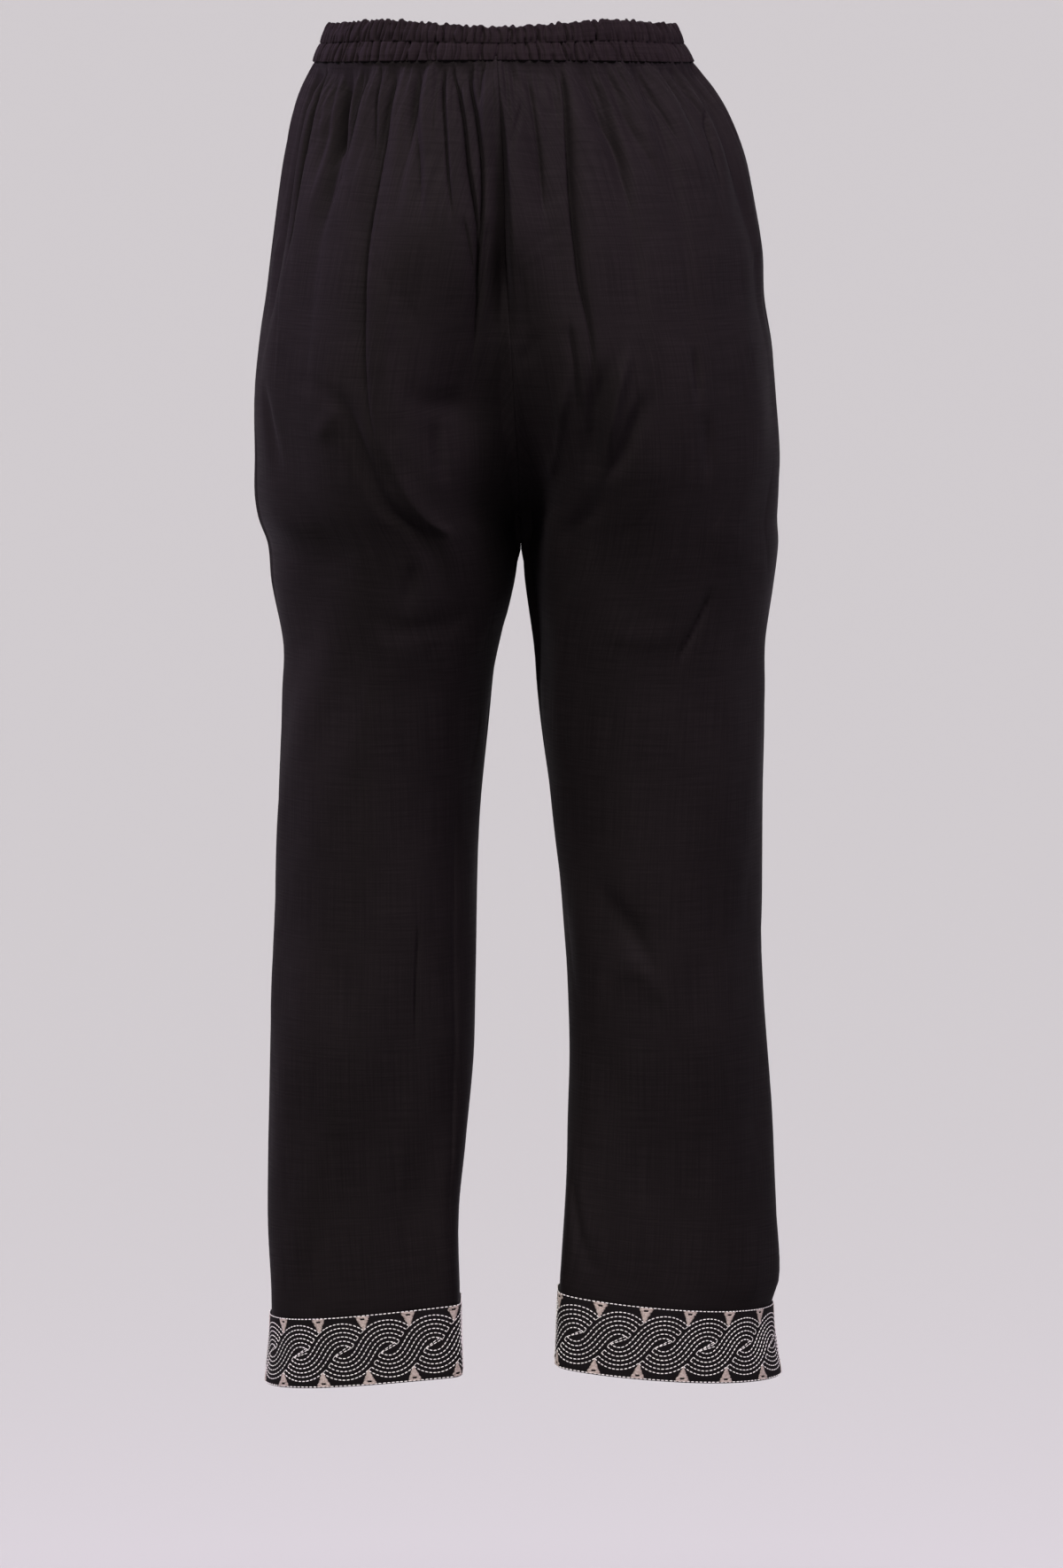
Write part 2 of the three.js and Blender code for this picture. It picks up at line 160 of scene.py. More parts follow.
# The form is the solids' own. Left and right are the outline's sides, mid the centre seam, back and front the
# greatest depths, and parting how far a section has divided into two legs.
torsoSections = {
    "z": [13, 0, -12, -30, -45, -70, -95, -140, -175, -210, -245, -285, -312, -330],
    "left": [121.5, 127, 132, 141, 146, 151, 155, 161, 165, 170, 173, 173, 173, 170],
    "right": [-121.5, -127, -134, -148, -157, -167.5, -173.5, -181, -182, -188, -191, -194, -193, -192],
    "mid": [3, 3, 3, 2, 1, -1, -2, -3, -5, -7, -9, -11, -12, -13],
    "back": [94, 98, 102, 113, 121, 131, 139, 148, 151, 151, 146, 136, 127, 121],
    "front": [-94, -98, -102, -111, -115, -119, -121, -122, -122, -121, -119, -116, -114, -112],
    "parting": [0, 0, 0, 0, 0, 0.02, 0.04, 0.09, 0.17, 0.3, 0.48, 0.73, 0.91, 1],
}
leftSections = {
    "z": [-348, -375, -420, -450, -530, -620, -700, -770, -820, -885, -940],
    "outer": [163.5, 161.5, 154, 154.5, 157.5, 161, 164, 165.5, 166, 164, 168],
    "inner": [-12, -9, 3, 8, 15, 18, 20, 26, 31, 30, 28.5],
    "back": [114, 105, 94, 88, 78, 74, 74, 68, 63, 59, 58],
    "front": [-110, -107, -102, -99, -92, -82, -72, -65, -60, -58, -58],
}
rightSections = {
    "z": [-348, -375, -420, -450, -530, -620, -700, -770, -820, -860, -880, -932],
    "outer": [-193, -190.5, -184.5, -184, -183, -182, -186.5, -191.5, -194.5, -196, -191, -197],
    "inner": [-14, -15.5, -21.5, -24, -34, -43, -47, -46, -43.5, -41, -39.5, -37.5],
    "back": [114, 105, 93, 87, 77, 72, 71, 66, 64, 62, 61, 61],
    "front": [-110, -107, -102, -99, -91, -80, -68, -56, -46, -36, -33, -32],
}
# heights, and the distances over which one shape turns into the next
form = {
    "waistbandTop": 13.0, "waistbandFoot": -12.0, "waistRiseBack": 3.0, "waistRiseFront": -10.0,
    "waistRiseReach": 110.0, "crotchHeight": -330.0, "innerSharpness": 0.4, "sharpeningReach": 300.0,
    "shapingStart": -480.0, "shapingReach": 400.0, "hemTiltReach": 200.0, "seamGap": 0.3,
}
# each hem band's edges at the middle, how they tilt, and how round the lower leg is near each seam
legHems = {
    "left": {"top": -885.5, "foot": -936.0, "topToOuter": -6.7, "footToOuter": -5.4, "toBack": 1.0,
             "outerTurn": -4.0, "outerPower": 0.75, "innerPower": 0.15},
    "right": {"top": -878.5, "foot": -930.5, "topToOuter": -8.0, "footToOuter": -7.0, "toBack": -2.0,
              "outerTurn": -22.0, "outerPower": 0.95, "innerPower": 0.3},
}


def smoothstep(value):
    # 3 t^2 - 2 t^3, level at 0 below and at 1 above
    value = np.clip(value, 0.0, 1.0)
    return value * value * (3 - 2 * value)


def throughPoints(heights, values, z):
    # a smooth curve through pairs that run downwards: cubic pieces, whose slope at each pair is that of the
    # chord from the pair above it to the pair below it
    heights, values = np.asarray(heights, float), np.asarray(values, float)
    last = len(heights) - 1
    above, below = np.maximum(np.arange(last + 1) - 1, 0), np.minimum(np.arange(last + 1) + 1, last)
    slopes = (values[above] - values[below]) / (heights[above] - heights[below])
    k = np.clip(np.searchsorted(-heights, -z, side="left") - 1, 0, last - 1)
    span = heights[k + 1] - heights[k]
    s = np.clip((z - heights[k]) / span, 0, 1)
    rising = s * s * (3 - 2 * s)
    return (values[k] * (1 - rising) + values[k + 1] * rising
            + slopes[k] * span * s * (1 - s) ** 2 - slopes[k + 1] * span * s * s * (1 - s))


def makeLeg(name, side, outerName, sections):
    # one leg's rows from waist to hem, measured outwards from the centre seam
    torso = {key: np.array(values, float) for key, values in torsoSections.items()}
    rows = {key: np.array(values, float) for key, values in sections.items()}
    outer = side * (torso[outerName] - torso["mid"])
    mid = torso["mid"][-1]
    return {
        "name": name, "side": side, "hem": legHems[name],
        "z": np.concatenate([torso["z"], rows["z"]]),
        "mid": np.concatenate([torso["mid"], np.full(len(rows["z"]), mid)]),
        "outer": np.concatenate([outer, side * (rows["outer"] - mid)]),
        "inner": np.concatenate([outer * (torso["parting"] - 1) / (torso["parting"] + 1),
                                 side * (rows["inner"] - mid)]),
        "back": np.concatenate([torso["back"], rows["back"]]),
        "front": np.concatenate([torso["front"], rows["front"]]),
    }


legs = {
    "left": makeLeg("left", 1, "left", leftSections),
    "right": makeLeg("right", -1, "right", rightSections),
}
print("form of both legs set")


def ovalAt(leg, z):
    # a leg's oval at height z: its centre and half sizes, and the angle where it meets the centre seam
    outer, inner, back, front, mid = (
        throughPoints(leg["z"], leg[key], z) for key in ("outer", "inner", "back", "front", "mid"))
    centre, half = (outer + inner) / 2, (outer - inner) / 2
    end = np.where(centre < half, np.arccos(-np.minimum(centre / half, 1)), np.pi)
    return {"mid": mid, "centre": centre, "half": half, "end": end,
            "middleY": (back + front) / 2, "depth": (back - front) / 2}


def shapedAt(z):
    # from 0 at the thigh to 1 where the lower leg has its own shape
    return smoothstep((form["shapingStart"] - z) / form["shapingReach"])


def dividingY(leg, oval, angle, z):
    # the line from the outer to the inner seam: the middle depth, moved forward near the outer seam
    nearOuter = (1 + np.cos(angle)) / 2
    return oval["middleY"] + shapedAt(z) * leg["hem"]["outerTurn"] * nearOuter ** 2


def levelShift(leg, z, angle):
    # the waist rises at the back and dips at the front, and the hem bands tilt
    hem = leg["hem"]
    rise = np.where(angle > 0, form["waistRiseBack"], form["waistRiseFront"]) * np.sin(angle) ** 2
    nearWaist = 1 - smoothstep((form["waistbandFoot"] - z) / form["waistRiseReach"])
    nearHem = smoothstep((hem["top"] + form["hemTiltReach"] - z) / form["hemTiltReach"])
    down = np.clip((hem["top"] - z) / (hem["top"] - hem["foot"]), 0, 1)
    toOuter = hem["topToOuter"] + (hem["footToOuter"] - hem["topToOuter"]) * down
    return rise * nearWaist + nearHem * (toOuter * np.cos(angle) + hem["toBack"] * np.sin(angle))


def surfacePoint(leg, angle, z):
    # an oval round the leg: outwards by the cosine of the angle, and to the back or front by its sine, raised
    # to a power that changes from the outer to the inner seam
    oval = ovalAt(leg, z)
    hem = leg["hem"]
    nearInner = (1 - np.cos(angle)) / 2
    sharpness = form["innerSharpness"] * smoothstep((form["crotchHeight"] - z) / form["sharpeningReach"])
    plain = 1 + sharpness * nearInner
    shaped = hem["outerPower"] + (hem["innerPower"] - hem["outerPower"]) * nearInner
    power = np.where(angle > 0, plain + (shaped - plain) * shapedAt(z), plain)
    bulge = oval["depth"] * np.sign(angle) * np.abs(np.sin(angle)) ** power
    x = oval["mid"] + leg["side"] * (oval["centre"] + oval["half"] * np.cos(angle))
    y = dividingY(leg, oval, angle, z) + bulge
    return np.stack(np.broadcast_arrays(x, y, z + levelShift(leg, z, angle)), -1)


def alongRows(points):
    # each row's running length from its first point
    steps = np.linalg.norm(np.diff(points, axis=1), axis=2)
    return np.concatenate([np.zeros((len(points), 1)), np.cumsum(steps, axis=1)], axis=1)


def evenRows(points, shares, *fields):
    # each row read again at given shares of its length, with any fields that belong to its points
    runs = alongRows(points)
    wanted = shares[None, :] * runs[:, -1:]
    columns = [points[..., k] for k in range(3)] + list(fields)
    read = [np.array([np.interp(w, r, c) for w, r, c in zip(wanted, runs, column)]) for column in columns]
    return np.stack(read[:3], -1), wanted, read[3:]


def gridNormals(points, outwards):
    # the cross product of the two directions of a grid, turned to agree with a rough outward direction
    normal = np.cross(np.gradient(points, axis=1), np.gradient(points, axis=0))
    normal /= np.maximum(np.linalg.norm(normal, axis=-1, keepdims=True), 1e-9)
    return normal * np.where((normal * outwards).sum(-1, keepdims=True) < 0, -1.0, 1.0)


def meshPiece(name, points, faces, material, uv=None):
    # a mesh from arrays of points in millimetres and of faces, with an optional UV pair for each point
    mesh = bpy.data.meshes.new(name)
    mesh.from_pydata((points.reshape(-1, 3) * 0.001).tolist(), [], faces)
    if uv is not None:
        layer = mesh.uv_layers.new(name="cloth")
        corners = np.empty(len(mesh.loops), np.int32)
        mesh.loops.foreach_get("vertex_index", corners)
        layer.data.foreach_set("uv", uv.reshape(-1, 2)[corners].astype(np.float32).ravel())
    mesh.polygons.foreach_set("use_smooth", np.ones(len(mesh.polygons), bool))
    mesh.materials.append(material)
    mesh.update()
    piece = bpy.data.objects.new(name, mesh)
    scene.collection.objects.link(piece)
    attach(piece, "root")
    return piece


def gridFaces(rows, columns, flip=False):
    # quads between the neighbouring points of a grid
    i, j = np.meshgrid(np.arange(rows - 1), np.arange(columns - 1), indexing="ij")
    first, below = i * columns + j, (i + 1) * columns + j
    quads = np.stack([first, below, below + 1, first + 1], -1).reshape(-1, 4)
    return (quads[:, ::-1] if flip else quads).tolist()


def tubeFaces(rows, columns, flip=False):
    # quads of a grid whose last row and last column join the first ones
    i, j = np.meshgrid(np.arange(rows), np.arange(columns), indexing="ij")
    below, right = (i + 1) % rows, (j + 1) % columns
    quads = np.stack([i * columns + j, i * columns + right, below * columns + right, below * columns + j], -1)
    quads = quads.reshape(-1, 4)
    return (quads[:, ::-1] if flip else quads).tolist()


def wovenCotton(name, base, light, slub=1.0):
    # black plain-weave cotton with a slub: matt, with thicker threads here and there that catch the light and
    # a soft bloom at grazing angles. The weave's 0.5 mm threads are too fine to show, so the slubs, 1 to 2 mm
    # high and 15 to 60 mm long, stand for them.
    material, tree = newMaterial(name)
    place = addNode(tree, "ShaderNodeUVMap", uv_map="cloth").outputs[0]
    weft = addNode(tree, "ShaderNodeMapping", {"Vector": place, "Scale": (26, 900, 1)}).outputs[0]
    warp = addNode(tree, "ShaderNodeMapping", {"Vector": place, "Scale": (1000, 16, 1)}).outputs[0]
    wefts = addNode(tree, "ShaderNodeTexNoise", {"Vector": weft, "Scale": 1.0, "Detail": 3.0}).outputs["Fac"]
    warps = addNode(tree, "ShaderNodeTexNoise", {"Vector": warp, "Scale": 1.0, "Detail": 2.0}).outputs["Fac"]
    threads = addNode(tree, "ShaderNodeMath", {0: wefts, 1: warps}, operation="MULTIPLY").outputs[0]
    cloud = addNode(tree, "ShaderNodeTexNoise", {"Vector": place, "Scale": 9.0, "Detail": 2.0}).outputs["Fac"]
    amount = addNode(tree, "ShaderNodeMapRange", {
        "Value": threads, "From Min": 0.14, "From Max": 0.42, "To Min": 0.0, "To Max": 0.5 * slub}).outputs[0]
    drift = addNode(tree, "ShaderNodeMapRange", {
        "Value": cloud, "From Min": 0.35, "From Max": 0.65, "To Min": 0.0, "To Max": 0.2}).outputs[0]
    mixed = addNode(tree, "ShaderNodeMath", {0: amount, 1: drift}, operation="ADD", use_clamp=True).outputs[0]
    colour = addNode(tree, "ShaderNodeMix", {
        "Factor": mixed, "A": linearColour(base), "B": linearColour(light)},
        data_type="RGBA").outputs["Result"]
    roughness = addNode(tree, "ShaderNodeMapRange", {
        "Value": threads, "From Min": 0.1, "From Max": 0.5, "To Min": 0.75, "To Max": 0.6}).outputs[0]
    bump = addNode(tree, "ShaderNodeBump", {
        "Height": threads, "Strength": 0.4, "Distance": 0.0005}).outputs[0]
    shader = addNode(tree, "ShaderNodeBsdfPrincipled", {
        "Base Color": colour, "Roughness": roughness, "Normal": bump, "IOR": 1.45, "Specular IOR Level": 0.03,
        "Sheen Weight": 0.02, "Sheen Roughness": 0.35, "Sheen Tint": linearColour("#cfc6d6")})
    addNode(tree, "ShaderNodeOutputMaterial", {"Surface": shader.outputs[0]})
    return material


def spunThread(name, light, dark, roughness):
    # mercerised cotton thread: a pale yarn with a faint sheen, whose twist shows as small shifts of tone
    material, tree = newMaterial(name)
    place = addNode(tree, "ShaderNodeTexCoord").outputs["Object"]
    twist = addNode(tree, "ShaderNodeTexNoise", {
        "Vector": place, "Scale": 900.0, "Detail": 1.0}).outputs["Fac"]
    part = addNode(tree, "ShaderNodeMapRange", {
        "Value": twist, "From Min": 0.35, "From Max": 0.65}).outputs[0]
    colour = addNode(tree, "ShaderNodeMix", {
        "Factor": part, "A": linearColour(dark), "B": linearColour(light)},
        data_type="RGBA").outputs["Result"]
    bump = addNode(tree, "ShaderNodeBump", {"Height": twist, "Strength": 0.2, "Distance": 0.0002}).outputs[0]
    shader = addNode(tree, "ShaderNodeBsdfPrincipled", {
        "Base Color": colour, "Roughness": roughness, "Normal": bump, "IOR": 1.5, "Sheen Weight": 0.1})
    addNode(tree, "ShaderNodeOutputMaterial", {"Surface": shader.outputs[0]})
    return material


trouserCotton = wovenCotton("slub_cotton_plain_weave", "#120f10", "#1e1a1b")
waistCotton = wovenCotton("gathered_slub_cotton", "#140f11", "#211b1d")
bandCotton = wovenCotton("hem_band_cotton", "#121011", "#1b1819", slub=0.5)
whiteThread = spunThread("off_white_cotton_thread", "#e2dfdd", "#cdc9c7", 0.62)
beigeThread = spunThread("beige_satin_thread", "#b3a69f", "#94867f", 0.5)
print("cloth and thread made")



def crease(path, depth, reach, slit=0.0, soft=False):
    # A crease runs through points, each a share of the panel's breadth from the outer seam and a height. Its
    # depth is in millimetres, and a negative one makes a ridge. Its reach is how far it spreads towards the
    # outer seam and towards the centre, or above and below if it runs across. A slit is a fine groove along
    # its bottom. Soft ones are rounded and the rest are sharp.
    return {"path": path, "depth": depth, "reach": reach, "slit": slit, "soft": soft}


creases = {
    "back_left": [
        crease([(0.185, -6), (0.175, -55), (0.17, -100), (0.15, -200)], 14.0, (10, 5)),
        crease([(0.235, -8), (0.265, -48), (0.26, -76), (0.25, -155)], 5.0, (3, 4), slit=4.5),
        crease([(0.32, -6), (0.36, -40), (0.34, -110)], 4.2, (9, 5)),
        crease([(0.34, -6), (0.42, -34), (0.4, -88)], 5.0, (7, 3), slit=1.0),
        crease([(0.41, -6), (0.435, -36), (0.45, -94)], 7.0, (9, 3), slit=1.0),
        crease([(0.515, -6), (0.5, -32), (0.485, -60), (0.41, -134)], 7.0, (12, 4), slit=1.0),
        crease([(0.57, -8), (0.59, -84)], 3.2, (5, 2), slit=0.8),
        crease([(0.72, -6), (0.74, -50), (0.77, -130)], 3.6, (9, 3)),
        crease([(0.65, -6), (0.62, -75), (0.595, -140), (0.59, -230), (0.6, -300)],
               3.4, (16, 2.5), slit=1.5),
        crease([(0.71, -135), (0.685, -210), (0.7, -262)], 2.0, (5, 18), soft=True),
        crease([(0.805, -8), (0.825, -40), (0.835, -78), (0.855, -125)], 3.0, (6, 2.5), slit=2.0),
        crease([(0.835, -8), (0.88, -40), (0.895, -78), (0.92, -120), (0.915, -172)],
               3.6, (6, 2), slit=2.6),
        crease([(0.89, -4), (0.91, -26), (0.93, -54), (0.935, -105), (0.915, -165), (0.895, -240)],
               4.4, (7, 3), slit=2.6),
        crease([(0.88, -110), (0.905, -144), (0.915, -172)], 1.4, (4, 2), slit=0.8),
        crease([(0.955, -114), (0.935, -150), (0.905, -190)], 1.6, (2, 4), slit=0.8),
        crease([(0.31, -214), (0.45, -231), (0.52, -243), (0.54, -264), (0.56, -298),
                (0.58, -326), (0.66, -390)],
               3.2, (8, 6), soft=True),
        crease([(0.4, -272), (0.5, -242)], -1.2, (7, 7), soft=True),
        crease([(0.61, -256), (0.64, -305), (0.66, -372)], -2.4, (6, 8), soft=True),
        crease([(0.66, -238), (0.78, -247), (0.9, -252)], 1.8, (10, 7), soft=True),
        crease([(0.775, -254), (0.755, -304)], 2.2, (5, 6), soft=True),
        crease([(0.16, -226), (0.205, -302)], 2.0, (7, 7), soft=True),
        crease([(0.38, -380), (0.48, -400), (0.6, -400), (0.76, -394)], 1.5, (10, 6), soft=True),
        crease([(0.56, -350), (0.54, -392)], 1.4, (5, 5), soft=True),
        crease([(0.645, -606), (0.64, -650), (0.645, -700)], 0.8, (1.5, 2), slit=1.2),
        crease([(0.77, -500), (0.815, -709), (0.885, -858)], 1.2, (8, 2.5), slit=0.5),
    ],
    "back_right": [
        crease([(0.91, -3), (0.91, -17), (0.905, -40), (0.9, -130)], 3.0, (3, 7), slit=0.8),
        crease([(0.93, -36), (0.99, -74)], 0.9, (1.5, 1.5), slit=0.7),
        crease([(0.79, -6), (0.825, -78), (0.815, -150), (0.79, -192), (0.785, -260)],
               3.2, (2.5, 13), slit=2.2),
        crease([(0.745, -10), (0.715, -44), (0.68, -70), (0.665, -118)], 3.0, (4, 9)),
        crease([(0.63, -8), (0.635, -40), (0.61, -62), (0.57, -84), (0.54, -124)], 2.8, (5, 10)),
        crease([(0.56, -6), (0.505, -19), (0.495, -36), (0.455, -78)], 2.2, (3, 7), slit=0.8),
        crease([(0.4, -6), (0.38, -20), (0.37, -42), (0.38, -72)], 1.3, (4, 7), slit=0.7),
        crease([(0.35, -6), (0.29, -22), (0.27, -48)], 1.1, (4, 6)),
        crease([(0.255, -34), (0.31, -60), (0.325, -108)], 1.2, (4, 4), slit=2.6),
        crease([(0.955, -150), (0.96, -206)], 1.0, (2, 5)),
        crease([(0.92, -190), (0.985, -222)], 1.6, (4, 4), soft=True),
        crease([(0.845, -182), (0.83, -222), (0.81, -268)], 1.6, (2, 5), slit=1.0),
        crease([(0.745, -205), (0.775, -258), (0.76, -308)], 5.0, (6, 9), soft=True),
        crease([(0.68, -196), (0.72, -238), (0.74, -292)], -3.4, (4, 4), soft=True),
        crease([(0.64, -230), (0.685, -270), (0.72, -304)], 3.6, (7, 4), soft=True),
        crease([(0.85, -214), (0.875, -254), (0.915, -310)], -3.0, (4, 5), soft=True),
        crease([(0.88, -246), (0.905, -296)], 2.2, (4, 4), soft=True),
        crease([(0.49, -200), (0.47, -246)], 2.2, (3, 4), soft=True),
        crease([(0.45, -244), (0.4, -302)], 1.8, (6, 6), soft=True),
        crease([(0.74, -290), (0.72, -344), (0.81, -410)], 2.4, (8, 16), soft=True),
        crease([(0.32, -374), (0.38, -403), (0.45, -432)], 1.6, (3, 2), slit=1.0),
        crease([(0.37, -403), (0.51, -408), (0.66, -404)], -0.9, (9, 5), soft=True),
        crease([(0.74, -588), (0.64, -604), (0.5, -646)], 2.2, (8, 7), soft=True),
        crease([(0.7, -652), (0.6, -638), (0.47, -664)], -1.6, (7, 7), soft=True),
        crease([(0.92, -780), (0.78, -850), (0.58, -880)], 1.6, (7, 7), soft=True),
    ],
    "front_left": [
        crease([(0.13, -16), (0.14, -60), (0.15, -116)], 3.2, (5, 4)),
        crease([(0.24, -8), (0.27, -70), (0.29, -130)], 2.6, (9, 3), slit=1.0),
        crease([(0.36, -8), (0.35, -68)], 1.8, (6, 3)),
        crease([(0.48, -8), (0.47, -80), (0.44, -190)], 2.8, (14, 3), slit=1.3),
        crease([(0.58, -8), (0.6, -78)], 2.0, (7, 3), slit=0.8),
        crease([(0.7, -6), (0.71, -60), (0.72, -114)], 2.4, (8, 3)),
        crease([(0.79, -6), (0.78, -64)], 1.8, (5, 2), slit=0.8),
        crease([(0.88, -4), (0.875, -80), (0.86, -160)], 2.6, (9, 3), slit=1.2),
        crease([(0.9, -284), (0.72, -326), (0.5, -384)], 3.0, (10, 8), soft=True),
        crease([(0.92, -330), (0.7, -368), (0.52, -412)], 1.8, (9, 8), soft=True),
        crease([(0.74, -466), (0.56, -500), (0.4, -514)], 1.5, (9, 9), soft=True),
        crease([(0.3, -620), (0.36, -730), (0.3, -840)], 1.4, (14, 12), soft=True),
    ],
    "front_right": [
        crease([(0.14, -14), (0.16, -52), (0.15, -100)], 2.8, (4, 5)),
        crease([(0.27, -8), (0.3, -60), (0.31, -108)], 2.4, (3, 8), slit=0.8),
        crease([(0.37, -8), (0.38, -60)], 1.8, (3, 6)),
        crease([(0.46, -8), (0.455, -80), (0.44, -160)], 2.8, (3, 12), slit=1.3),
        crease([(0.56, -8), (0.55, -72)], 1.8, (3, 7), slit=0.7),
        crease([(0.67, -6), (0.66, -90), (0.64, -204)], 2.8, (3, 13), slit=1.4),
        crease([(0.78, -6), (0.79, -68)], 1.6, (2, 6)),
        crease([(0.89, -4), (0.885, -60), (0.88, -126)], 2.4, (3, 8), slit=1.0),
        crease([(0.89, -280), (0.7, -324), (0.52, -376)], 2.8, (10, 8), soft=True),
        crease([(0.9, -322), (0.72, -356), (0.56, -392)], 1.8, (9, 8), soft=True),
        crease([(0.7, -458), (0.46, -490)], 1.4, (9, 9), soft=True),
        crease([(0.36, -580), (0.33, -700), (0.38, -810)], 1.4, (14, 12), soft=True),
    ],
}
# the hollows down the centre of the seat and of the front: depth at the seam, and reach on each side of it
centreHollows = [
    {"top": -110, "foot": -358, "fades": (90, 40), "depth": {"back": 21, "front": 4},
     "reach": {"left": 54, "right": 30}},
    {"top": -16, "foot": -206, "fades": (90, 60), "depth": {"back": 17, "front": 2},
     "reach": {"left": 12.5, "right": 2.6}},
]
# wide shallow dents: place, reach towards the outer seam, towards the centre, above and below, and depth
dents = {
    "back_left": [{"place": (0.85, -246), "reach": (36, 50, 68, 38), "depth": 21},
                  {"place": (0.62, -290), "reach": (18, 16, 14, 12), "depth": 3},
                  {"place": (0.86, -335), "reach": (26, 30, 46, 40), "depth": 9},
                  {"place": (0.32, -322), "reach": (60, 50, 76, 100), "depth": 11}],
    "back_right": [{"place": (0.9, -300), "reach": (40, 30, 60, 50), "depth": 10},
                   {"place": (0.95, -384), "reach": (44, 30, 60, 70), "depth": 7},
                   {"place": (0.42, -326), "reach": (70, 60, 70, 100), "depth": 9},
                   {"place": (0.62, -612), "reach": (26, 20, 16, 14), "depth": 3}],
    "front_left": [{"place": (0.85, -310), "reach": (30, 30, 50, 40), "depth": 5}],
    "front_right": [{"place": (0.86, -300), "reach": (30, 30, 50, 40), "depth": 5}],
}
# what can be changed on the four leg panels, in millimetres
panelLook = {
    "chartWidth": 260.0,  # the breadth on which creases are laid out
    "breadth": 230.0,     # the breadth on which the columns next to the seams are spaced
    "rowStepUpper": 2.4, "upperFoot": -150.0, "rowStepMiddle": 4.6, "middleFoot": -420.0, "rowStepLower": 7.5,
    "backColumns": 242, "frontColumns": 132, "clothThickness": 0.5,
    "creaseDepth": 1.45, "slitReach": 1.05,
    # the most depth just under the waistband, and how much more for each millimetre below it
    "headDepth": 2.2, "headGrowth": 0.9, "headRoll": 0.5,
    "calmReach": 5.0,     # from a long seam to the full depth of the creases
    "seamRoll": 1.3, "seamRollReach": 1.5, "allowance": 4.0, "allowanceSink": 1.2,
    "centreTuck": 2.6,    # how far the right allowance passes behind the left one
    "sideTuck": 2.0,      # how far the back allowance passes behind the front one
    "touchReach": 31.0,   # how far below the crotch the two legs still touch
    "touchFade": 12.0, "touchBreadth": 26.0, "touchTop": 40.0,
    # under the crotch the inner edges roll in less
    "crotchEase": {"share": 0.9, "drop": 14.0, "reach": 22.0},
    "cut": {"width": 0.285, "length": 0.915, "area": 0.21},  # in metres
}
# gathers under the waistband, each kind with its spacing, length, depth and width, and how sharp it is
gatherLook = {
    "kinds": [
        {"spacing": 18.0, "length": 190.0, "depth": 5.5, "width": 4.6, "power": 1.7},
        {"spacing": 7.0, "length": 75.0, "depth": 3.0, "width": 1.7, "power": 1.3},
        {"spacing": 3.8, "length": 22.0, "depth": 2.2, "width": 0.8, "power": 1.3},
    ],
    "shortest": 0.45, "longer": 1.1,  # a gather's length is the shortest share plus up to the longer one
    "depths": (0.4, 1.3), "widths": (0.7, 1.35), "drifts": (-0.17, 0.05),
    "widening": 75.0,                 # how far down a gather is twice as wide
    "wideSide": 1.6, "steepSide": 0.6,
}
wrinkleLook = {
    "count": 80, "depth": 0.7, "sizes": (0.25, 1.0), "lengths": (12, 38), "widths": (1.8, 4.5),
    "top": -30, "span": 820, "crowding": 1.8, "lean": 0.45, "across": 0.2, "acrossTurn": np.pi / 2.6,
    "bow": 0.004, "wideSide": 1.7, "steepSide": 0.7,
}
waveLook = {"count": 7, "depth": 0.9, "sum": 2.6, "across": (45, 110), "down": (130, 340), "lean": 0.3}


def creaseField(rows, x, z):
    # sum of troughs across curves: exp(-(away / reach)^2) if soft and exp(-(away / reach)^1.2) if sharp, with
    # its own reach on each side and perhaps a slit along it. Each fades in over its first fifth, or third if
    # soft, unless it starts at the waist seam, and fades out over its last two fifths.
    depth = np.zeros(np.broadcast(x, z).shape)
    waistStart = form["waistbandFoot"] - 7
    for fold in rows:
        path = np.array(fold["path"], float) * [panelLook["chartWidth"], 1]
        level = abs(np.ptp(path[:, 0])) > abs(np.ptp(path[:, 1]))
        if level:  # a crease that runs more across than down is read along x instead
            path = path[np.argsort(-path[:, 0])]
        run, rise = (x, z) if level else (z, x)
        ends, offsets = (path[:, 0], path[:, 1]) if level else (path[:, 1], path[:, 0])
        centre = throughPoints(ends, offsets, run)
        slope = (throughPoints(ends, offsets, run + 1) - throughPoints(ends, offsets, run - 1)) / 2
        away = (rise - centre) / np.sqrt(1 + slope ** 2)
        along = (ends[0] - run) / (ends[0] - ends[-1])
        fromWaist = ends[0] > waistStart and not level
        fadeIn = 1.0 if fromWaist else smoothstep(along / (0.35 if fold["soft"] else 0.2))
        fade = fadeIn * smoothstep((1 - along) / 0.45) * (along > 0) * (along < 1)
        first, second = fold["reach"] if not level else fold["reach"][::-1]
        share = np.abs(away) / np.where(away < 0, first, second)
        trough = fold["depth"] * np.exp(-share ** (2.0 if fold["soft"] else 1.2))
        slit = fold["slit"] * np.exp(-(away / panelLook["slitReach"]) ** 2)
        depth += fade * (trough + slit)
    return depth


def dentField(rows, x, z):
    # sum of depth * exp(-(across / reach)^2 - (down / reach)^2), with its own reach on each of four sides
    depth = np.zeros(np.broadcast(x, z).shape)
    for dent in rows:
        outer, centre, above, below = dent["reach"]
        across, up = x - dent["place"][0] * panelLook["chartWidth"], z - dent["place"][1]
        share = (across / np.where(across < 0, outer, centre)) ** 2
        share = share + (up / np.where(up > 0, above, below)) ** 2
        depth += dent["depth"] * np.exp(-share)
    return depth


